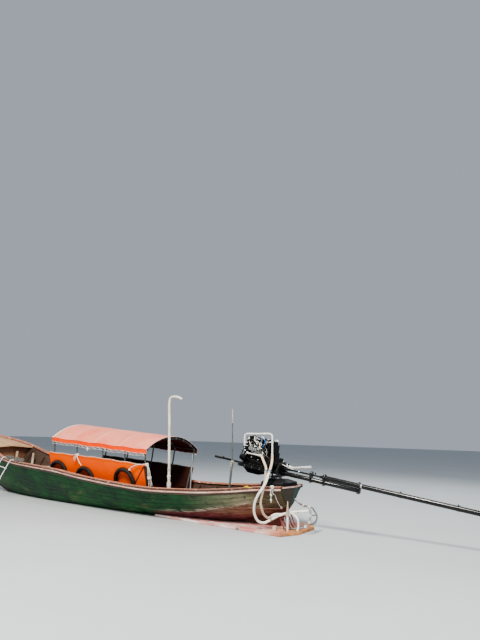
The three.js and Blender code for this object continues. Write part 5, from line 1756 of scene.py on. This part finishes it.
# Oil pan with a flange, a sump and its plug
parts = [block((.15, -.158, .006), (.69, .158, .0197)),
         loftRings([[(x, y, z) for x, y in ((a, -h), (b, -h), (b, h), (a, h))]
                    for z, a, b, h in ((.0065, .156, .684, .15), (-.012, .158, .683, .148),
                                       (-.04, .17, .686, .143), (-.05, .3, .684, .139),
                                       (-.126, .326, .6, .122), (-.1395, .338, .578, .113))])]
for k in range(5):
    x = .365 + k * .05
    parts.append(block((x - .006, -.128, -.125), (x + .006, .128, -.06)))
enginePiece("oil-pan-sump", parts, "blackPaint", slot="engine_black", replaced=["oil_pan"])
localStuds("pan-bolts", [((x, side * .151, .004), (0, 0, -1)) for side in (1, -1)
                         for x in (.165, .24, .315, .39, .465, .54, .615, .675)]
           + [((.45, .0, -.141), (0, 0, -1))], .0065, .008)

# Cylinder head with its valve cover, cap, breather, intake runners and exhaust manifold
parts = [block((.1505, -.124, .3908), (.6895, .124, .452)), block((.158, -.116, .452), (.682, .116, .5)),
         block((.1505, -.124, .452), (.165, .124, .5)), block((.675, -.124, .452), (.6895, .124, .5))]
for x in (.2, .29, .42, .55, .64):
    for side in (1, -1):
        parts.append(spun([0, (.0005, .015), (.052, .015), .053], (x, side * .112, .448), "z", 14))
# its rear cover stands over the bell housing, with a pale cap, and a cover lies round the coupling
parts += [block((.0955, -.098, .468), (.156, .098, .543)), block((.062, -.112, .285), (.1395, .112, .475)),
          block((-.072, -.086, .11), (.052, .086, .246)), block((.03, -.098, .2), (.1, .098, .33))]
enginePiece("cylinder-head-body", parts, "castIron", slot="grey_metal", replaced=["cylinder_head"])
enginePiece("rear-cap", [spun([0, (.001, .03), (.022, .032), (.026, .02), (.04, .018), .041],
                              (.105, -.02, .542), "z", 22),
                         tube(smoothPath([(.105, .01, .565), (.07, .02, .578), (.03, .03, .56)], 5), .01,
                              12)], "brightPipe")
parts = [loftRings([[(x, y, z) for x, y in ((a, -h), (b, -h), (b, h), (a, h))]
                    for z, a, b, h in ((.4985, .168, .672, .082), (.506, .168, .672, .082),
                                       (.508, .175, .665, .074), (.55, .182, .658, .066),
                                       (.563, .196, .644, .05))]),
         spun([0, (.0005, .031), (.012, .031), (.014, .026), (.026, .026), .028], (.6, 0, .562), "z", 24)]
for k in range(9):
    x = .215 + k * .05
    parts.append(block((x - .003, -.045, .56), (x + .003, .045, .5675)))
cover = enginePiece("valve-cover", parts, "castIron")
bevelled(cover, .003)
localStuds("cover-nuts", [((x, side * .078, .507), (0, 0, 1)) for side in (1, -1)
                          for x in (.18, .3, .42, .54, .66)] + [((x, 0, .566), (0, 0, 1))
                                                                for x in (.24, .42, .54)], .008, .012,
           "chrome")
parts = [spun([-.235, (-.234, .026), (.235, .026), .236], (.41, .152, .452), "x", 20)]
for cylinder in engineBox["cylinders"]:
    parts.append(tube(smoothPath([(cylinder, .112, .428), (cylinder, .13, .43), (cylinder, .15, .452)], 4),
                      .02, 12))
    parts.append(block((cylinder - .03, .118, .405), (cylinder + .03, .128, .455)))
parts.append(spun([0, (.001, .03), (.03, .031), (.035, .04), (.1, .04), (.105, .034), .106],
                  (.56, .152, .476), (.585, .158, .6), 24))
for k in range(6):
    parts.append(spun([.04 + .01 * k, (.0405 + .01 * k, .0425), (.0445 + .01 * k, .0425), .045 + .01 * k],
                      (.56, .152, .476), (.585, .158, .6), 24))
enginePiece("intake-manifold", parts, "castIron")
parts = [spun([-.24, (-.238, .029), (.238, .029), .24], (.42, -.158, .44), "x", 20)]
for cylinder in engineBox["cylinders"]:
    parts.append(tube(smoothPath([(cylinder, -.116, .43), (cylinder, -.136, .436), (cylinder, -.158, .44)],
                                 4), .021, 12))
    parts.append(block((cylinder - .032, -.128, .405), (cylinder + .032, -.118, .458)))
enginePiece("exhaust-manifold", parts, "castIron")

# Exhaust pipe to the shaft side, with its flange and hangers
pipe = smoothPath([(.42, -.1853, .44), (.42, -.225, .44), (.412, -.262, .432), (.385, -.274, .345),
                   (.34, -.275, .305), (.15, -.275, .185), (.02, -.272, .147), (-.15, -.2685, .096),
                   (-.235, -.2675, .092), (-.4, -.265, .133), (-.599, -.262, .182)], 7)
parts = [tube(pipe, .023, 18, .001), spun([0, (.0003, .046), (.01, .046), .011], (.42, -.186, .44), "-y", 24)]
enginePiece("exhaust-pipe", parts, "brightPipe", slot="grey_metal", replaced=["exhaust"])
parts = [wound((.245, -.275, .245), (.84, 0, .53), .0245, 12, .0085, .0034),
         spun([0, (.0005, .027), (.02, .027), .0205], (-.3, -.2664, .108), (-.5, -.2635, .157), 20),
         block((.06, -.262, .02), (.085, -.239, .13)), block((.06, -.3, .122), (.085, -.239, .134))]
enginePiece("exhaust-wrap", parts, "lashing")

# Pulleys, belt, alternator with fins, and the water pump's nose
parts = [spun([0, (.0005, .088), (.004, .095), (.009, .095), (.014, .084), (.019, .095), (.024, .095),
               (.028, .089), .0285], (.7003, 0, crankUp), "x", 48),
         spun([0, (.0005, .064), (.004, .07), (.009, .07), (.014, .06), (.019, .07), (.024, .07),
               (.028, .065), .0285], (.7003, 0, .38), "x", 40),
         spun([-.14, (-.139, .04), (-.132, .056), (-.128, .06), (-.05, .06), (-.046, .056), (-.04, .042),
               (-.024, .04), (-.022, .034), (-.014, .036), (-.004, .042), (0, .03), .0005], (.728, .24, .15),
              "x", 36),
         block((.7003, -.028, .205), (.712, .028, .315)), block((.7003, .09, .125), (.716, .182, .145)),
         block((.6, .15, .14), (.63, .186, .16))]
for k in range(16):
    a = 2 * math.pi * k / 16
    way, across = Vector((0, math.cos(a), math.sin(a))), Vector((0, -math.sin(a), math.cos(a))) * .004
    base = Vector((0, .24, .15))
    parts.append(loftRings([[base + Vector((x, 0, 0)) + way * r + across * s for x, r in (
        (.592, .055), (.592, .0632), (.672, .0632), (.672, .055))] for s in (-1, 1)]))
enginePiece("pulleys-alternator", parts, "castIron", slot="grey_metal", replaced=["front_pulleys"])


def beltLoop(wheels, x, width, thick):
    # the outer path round the wheels, which are given in order against the clock
    path = []
    for i, (y, z, r) in enumerate(wheels):
        previous, following = wheels[i - 1], wheels[(i + 1) % len(wheels)]

        def touch(a, b):
            d = math.atan2(b[1] - a[1], b[0] - a[0])
            return d - math.pi / 2 + math.asin((a[2] - b[2]) / math.hypot(b[0] - a[0], b[1] - a[1]))

        start, end = touch(previous, (y, z, r)), touch((y, z, r), following)
        while end < start:
            end += 2 * math.pi
        for k in range(13):
            a = start + (end - start) * k / 12
            path.append((y + r * math.cos(a), z + r * math.sin(a), math.cos(a), math.sin(a)))
    rings = []
    for y, z, c, s in path:
        rings.append([(x - width / 2, y, z), (x + width / 2, y, z),
                      (x + width / 2, y + thick * c, z + thick * s),
                      (x - width / 2, y + thick * c, z + thick * s)])
    return loftRings(rings, closed=True)


enginePiece("drive-belt", [beltLoop([(0, crankUp, .0845), (.24, .15, .0345), (0, .38, .0605)], .7145, .011,
                                    .01)], "rubber")
print("engine ready")


# Tiller: a tube with a grip, a throttle lever and its cable
parts = [tube([(.7653, 0, .002), (1.05, 0, .0045), (1.33, 0, .007)], .017, 16),
         block((.7653, -.06, -.03), (.789, .06, .028)),
         spun([0, (.0005, .026), (.03, .024), .031], (.789, 0, .002), (1.33, 0, .007), 20)]
enginePiece("tiller-tube", parts, "blackPaint", slot="engine_black", replaced=["tiller"])
grip = [(0, .001), (.0005, .0205)]
for k in range(14):
    grip += [(.006 + .012 * k, .022), (.01 + .012 * k, .0205)]
grip += [(.176, .0215), (.1795, .001)]
parts = [spun(grip, (1.32, 0, .007), (1.5, 0, .008), 20)]
enginePiece("tiller-grip", parts, "rubber")
cable = [(1.27, .018, .021), (1.16, .03, .028), (1.02, .024, .02), (.86, .028, .013), (.79, .055, .034),
         (.74, .12, .09), (.7, .165, .17), (.6, .186, .23), (.475, .183, .262)]
parts = [tube(smoothPath(cable, 7), .0042, 8)]
for x, z in ((1.27, .0065), (1.02, .0045), (.86, .003)):
    parts.append(spun([-.005, (-.0045, .0192), (.0045, .0192), .005], (x, 0, z), "x", 16))
parts.append(block((1.255, .008, .004), (1.285, .024, .046)))
enginePiece("throttle-cable", parts, "rubber")

# Shaft tube: bearing sleeves, a silver collar, grease nipples and the skeg
shaft = {"radius": .043, "bare": .016, "from": -.0953, "drop": .086, "clamps": (-.735, -1.0, -1.655)}
parts = [spun([0, (.0005, .0425), (.002, shaft["radius"]), (.112, shaft["radius"]), (.119, .036), .1197],
              (shaft["from"], 0, shaftUp), "-x", 32),
         spun([0, (.0005, shaft["bare"]), (.755, shaft["bare"]), .7555], (-.2105, 0, shaftUp), "-x", 20),
         spun([0, (.0007, .034), (.008, shaft["radius"]), (3.838, shaft["radius"]), (3.8395, .04), 3.84],
              (-.96, 0, shaftUp), "-x", 32)]
for x, length, r in ((-.1, .09, .047), (-.25, .03, .024), (-.905, .045, .024), (-.962, .05, .0465),
                     (-2.35, .06, .0465), (-3.25, .06, .0465), (-4.15, .06, .0465), (-4.69, .105, .048)):
    parts.append(spun([0, (.001, r - .003), (.004, r), (length - .004, r), (length - .001, r - .003), length],
                      (x, 0, shaftUp), "-x", 32))
outline = [(-4.33, .045), (-4.775, .045), (-4.79, -.11), (-4.93, -.187), (-4.9, -.202), (-4.7, -.125)]
parts.append(loftRings([[(x, y * (.62 if z < -.14 else 1), z) for x, z in outline] for y in (-.008, .008)]))
enginePiece("shaft-tube-body", parts, "glossBlack", slot="engine_black", replaced=["shaft_tube"])
enginePiece("shaft-collar", [spun([0, (.0005, .044), (.006, .047), (.03, .047), (.034, .044), .0345],
                                  (-1.679, 0, shaftUp), "-x", 36),
                             spun([0, (.0005, .019), (.003, .021), (.015, .021), (.018, .019), .0185],
                                  (-.47, 0, shaftUp), "-x", 24)], "chrome")
parts = []
for x, r in ((-.135, .044), (-1.02, .044), (-2.375, .044), (-3.275, .044), (-4.175, .044)):
    parts.append(spun([0, (.0005, .01), (.012, .01), (.0125, .006), (.022, .006), .023], (x, 0, shaftUp + r),
                      "z", 12))
for x, base, top, r in ((-.24, .117, .168, .017), (-.808, .09, .118, .015)):
    parts.append(spun([0, (.0005, .007), (top - base - r, .007), (top - base - .8 * r, .8 * r),
                       (top - base, r), (top - base + .8 * r, .7 * r), top - base + r], (x, 0, base), "z",
                      14))
enginePiece("grease-nipples", parts, "blackPaint")
# painted highlight: a thin pale tube along the top of the shaft's start stands in for a bright highlight line
enginePiece("shaft-highlight-line", [tube(smoothPath([(-.112, .035, .15), (-.16, .04, .14), (-.23, .042, .128),
                                            (-.31, .04, .112), (-.36, .02, .1)], 6), .0075, 10)], "whiteHose")

# Support tube below the shaft, its caps and bolted clamps
centre = shaftUp - shaft["drop"]
parts = [spun([0, (.0005, .04), (1.584, .04), (1.5935, .034), (1.5945, .03), 1.5947],
              (shaft["from"], 0, centre), "-x", 36)]
clampShape = [(-.044, -.054), (.044, -.054), (.054, -.044), (.054, .118), (.042, .139), (.034, .143),
              (-.034, .143), (-.042, .139), (-.054, .118), (-.054, -.044)]
for x in shaft["clamps"]:
    parts.append(loftRings([[(x + dx, y * s, centre + .046 + (z - .046) * s) for y, z in clampShape]
                            for dx, s in ((-.02, .965), (-.016, 1), (.016, 1), (.02, .965))]))
enginePiece("support-tube-body", parts, "glossBlack", slot="engine_black", replaced=["support_tube"])
localStuds("clamp-bolts", [((x, side * .055, centre + z), (0, side, 0)) for x in shaft["clamps"]
                           for side in (1, -1) for z in (-.03, .045, .098)]
           + [((x, y, centre + .144), (0, 0, 1)) for x in shaft["clamps"] for y in (-.024, .024)], .008, .012)

# Propeller: hub with a nose and two twisted blades with rounded tips
propeller = {"hub": -4.86, "radius": .165, "blades": 2}
parts = [spun([0, (.0003, .0318), (.012, .032), (.085, .029), (.104, .023), (.1095, .012), .1097],
              (-4.8003, 0, shaftUp), "-x", 32)]
for blade in range(propeller["blades"]):
    spin = Matrix.Rotation(2 * math.pi * blade / propeller["blades"], 3, "X")
    rings = []
    for k in range(15):
        share = k / 14
        r = .016 + (propeller["radius"] - .016) * share
        chord = .03 + .046 * math.sin(math.pi * min(1, share * 1.12)) - .032 * max(0, share - .86) / .14
        pitch = math.radians(68 - 38 * share)
        thick = .0055 * (1 - .75 * share) + .0008
        ring = []
        for n in range(16):
            a = 2 * math.pi * n / 16
            along, out = chord * math.cos(a), thick * math.sin(a)
            w = along * math.sin(pitch) + out * math.cos(pitch)
            x = -along * math.cos(pitch) + out * math.sin(pitch)
            ring.append(Vector((propeller["hub"] + x * .9, 0, shaftUp)) + spin @ Vector((0, w, r)))
        rings.append(ring)
    parts.append(loftRings(rings))
enginePiece("propeller-blades", parts, "bronze", body="propeller", slot="bronze", replaced=["propeller"])

# Coolant pipe over the engine, with joint collars, and the pipe along the port side
smooth = smoothPath([(1.088, .195, 1.505), (1.09, .195, 1.64), (1.0875, .1945, 1.7), (1.045, .19, 1.738),
                     (.96, .19, 1.7395), (.6, .19, 1.7465), (.52, .19, 1.7475), (.466, .1935, 1.722),
                     (.4545, .1955, 1.66), (.451, .199, 1.52), (.447, .204, 1.34)], 8)
parts = [tube([at(*p) for p in smooth], .017, 18, .001)]
for spot, way in (((1.089, .195, 1.6), (0, 0, 1)), ((.92, .19, 1.7405), (1, 0, -.01)),
                  ((.63, .19, 1.746), (1, 0, -.01)), ((.4528, .197, 1.6), (0, 0, 1)),
                  ((.4475, .2036, 1.358), (0, -.03, 1))):
    middle = at(*spot)
    parts.append(spun([-.018, (-.0175, .0205), (.0175, .0205), .018], middle, middle + Vector(way), 18))
joined("coolant-pipe-run", parts, "whitePaint", body="engine", slot="white_paint", replaced=["coolant_pipe"])
line = smoothPath([(.604, .1903, .243), (.604, .212, .243), (.592, .2255, .2431), (.5, .226, .2437),
                   (.312, .226, .245)], 8)
parts = [tube(line, .0125, 18, .001),
         spun([0, (.0003, .024), (.007, .024), .0075], (.604, .1905, .243), "y", 20),
         spun([0, (.0005, .0175), (.022, .0175), .0225], (.312, .226, .245), "x", 18)]
enginePiece("side-pipe-run", parts, "whitePaint", slot="white_paint", replaced=["side_pipe"])

# Small parts that crowd the engine: filters, starter, brackets, housings and pale fittings
parts = [spun([0, (.001, .034), (.004, .038), (.078, .038), (.082, .03), .083], (.64, .158, .3),
              (.64, .17, .2), 26),
         spun([0, (.001, .036), (.08, .036), (.084, .03), .085], (.25, .192, .375), (.25, .194, .5), 26),
         spun([0, (.001, .039), (.01, .039), .011], (.25, .192, .366), (.25, .194, .5), 26),
         spun([0, (.001, .04), (.13, .04), (.132, .03), (.15, .03), .151], (.15, -.2, .08), "x", 26),
         spun([0, (.001, .022), (.09, .022), .091], (.17, -.2, .14), "x", 18)]
enginePiece("filters-starter", parts, "blackPaint")
parts = [block((.43, .16, .3), (.5, .178, .36)), block((.52, .152, .33), (.6, .17, .385)),
         block((.18, .126, .5), (.24, .16, .53)), block((.345, .17, .335), (.41, .182, .385)),
         spun([0, (.001, .028), (.02, .03), (.024, .02), (.05, .018), .051], (.69, .05, .47), (1, .08, .5),
              22),
         spun([0, (.001, .012), (.13, .011), (.131, .016), (.14, .016), .141], (.47, .165, .3),
              (.48, .176, .45), 12),
         block((.15, -.05, .5), (.175, .05, .54)), block((.6, -.11, .5), (.66, -.08, .545))]
bevelled(enginePiece("brackets-housings", parts, "alloy"), .002)
parts = [block((.415, .158, .388), (.462, .204, .406)), block((.33, .16, .395), (.352, .202, .428)),
         block((.495, .16, .285), (.522, .188, .297))]
for x, z, r, reach in ((.619, .529, .024, .04), (.175, .573, .012, .06), (.12, .53, .013, .08),
                       (.663, .281, .019, .034), (.642, .202, .018, .036), (.704, .184, .012, .03),
                       (.56, .395, .011, .03), (.43, .556, .01, .05), (.385, .545, .009, .05),
                       (.212, .48, .008, .04), (.236, .455, .008, .04), (.69, .33, .009, .03),
                       (.2, .33, .007, .03), (.345, .15, .007, .03), (.5, .175, .008, .03)):
    foot = .196 - reach if x < .7 and z < .5 else .16 - .3 * reach
    parts.append(spun([0, (.001, r * .8), (reach * .7, r * .8), (reach * .72, r), (reach - .002, r * .9),
                       reach], (x, foot, z), "y", 14))
enginePiece("pale-fittings", parts, "whitePaint")

# Rigid lines and clipped leads along the port side of the engine
lines = [
    ([(.5, .166, .578), (.482, .196, .566), (.47, .204, .53), (.448, .206, .494), (.412, .188, .486),
      (.4, .16, .49)], .0095, "whiteHose"),
    ([(.335, .16, .57), (.325, .19, .592), (.298, .2, .6), (.27, .198, .578), (.268, .165, .555)], .0105,
     "whiteHose"),
    ([(.64, .164, .44), (.675, .196, .438), (.69, .206, .408), (.668, .206, .378), (.636, .176, .376)], .0085,
     "whiteHose"),
    ([(.605, .162, .474), (.59, .204, .462), (.54, .204, .412), (.522, .166, .398)], .0075, "whiteHose"),
    ([(.525, .162, .47), (.545, .21, .458), (.578, .21, .4), (.59, .168, .38)], .007, "galvanised"),
    ([(.372, .166, .44), (.358, .198, .47), (.33, .206, .478), (.306, .204, .454), (.318, .19, .424),
      (.34, .17, .42)], .008, "whiteHose"),
    ([(.345, .198, .41), (.322, .208, .384), (.288, .208, .38), (.262, .206, .402), (.25, .19, .43)], .008,
     "whiteHose"),
    ([(.6, .164, .345), (.58, .2, .334), (.54, .206, .316), (.5, .206, .322), (.468, .202, .338),
      (.455, .176, .35)], .009, "galvanised"),
    ([(.278, .178, .312), (.262, .206, .32), (.24, .21, .304), (.242, .21, .28), (.266, .196, .27)], .007,
     "whiteHose"),
    ([(.182, .178, .246), (.158, .196, .262), (.128, .196, .236), (.11, .15, .2)], .0075, "darkAlloy"),
    ([(.205, .176, .262), (.175, .19, .262), (.165, .195, .32), (.185, .196, .38), (.218, .194, .41)], .0055,
     "chrome"),
    ([(.56, .17, .412), (.565, .186, .43), (.6, .192, .4), (.645, .186, .335)], .0045, "rubber"),
    ([(.15, .1, .52), (.14, .14, .5), (.155, .175, .42), (.165, .182, .32), (.17, .18, .2), (.2, .178, .1)],
     .006, "rubber"),
    ([(.7, .03, .46), (.722, .06, .45), (.735, .12, .38), (.728, .19, .29), (.7, .235, .215)], .006,
     "rubber"),
    ([(.69, .055, .5), (.7, .1, .53), (.66, .155, .545), (.6, .175, .53), (.56, .178, .49)], .0085, "rubber"),
    ([(.3, .2, .1), (.36, .206, .12), (.46, .205, .14), (.56, .205, .13), (.6, .19, .16)], .005, "rubber"),
]
groups = {}
for path, radius, finish in lines:
    groups.setdefault(finish, []).append(tube(smoothPath(path, 7), radius, 10, .001))
for finish, parts in groups.items():
    enginePiece(f"engine-lines-{finish}", parts, finish)
straps = [((.4, .196, .47), (1, 0, -.4)), ((.52, .198, .41), (1, 0, 0)), ((.165, .182, .32), (0, 0, 1)),
          ((.728, .19, .29), (0, .6, -.8))]
enginePiece("line-clips", [spun([-.004, (-.0038, .0095), (.0038, .0095), .004], spot,
                                Vector(spot) + Vector(way), 12) for spot, way in straps], "alloy")

# Blue fuel hose, hung in a loop between the filter and the pump
blue = [onEngine(*p) for p in smoothPath([(.318, .176, .5), (.3, .208, .54), (.262, .23, .566),
                                          (.218, .236, .548), (.212, .236, .5), (.232, .234, .448),
                                          (.262, .216, .402), (.296, .182, .376)], 6)]
hose = joined("fuel-hose", [tube(blue, .0068, 10)], "bluePlastic", body="engine")
print("engine lines ready")

size = {"cad": cadBox, "visual": [list(corner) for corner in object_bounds()]}
print("size", size)
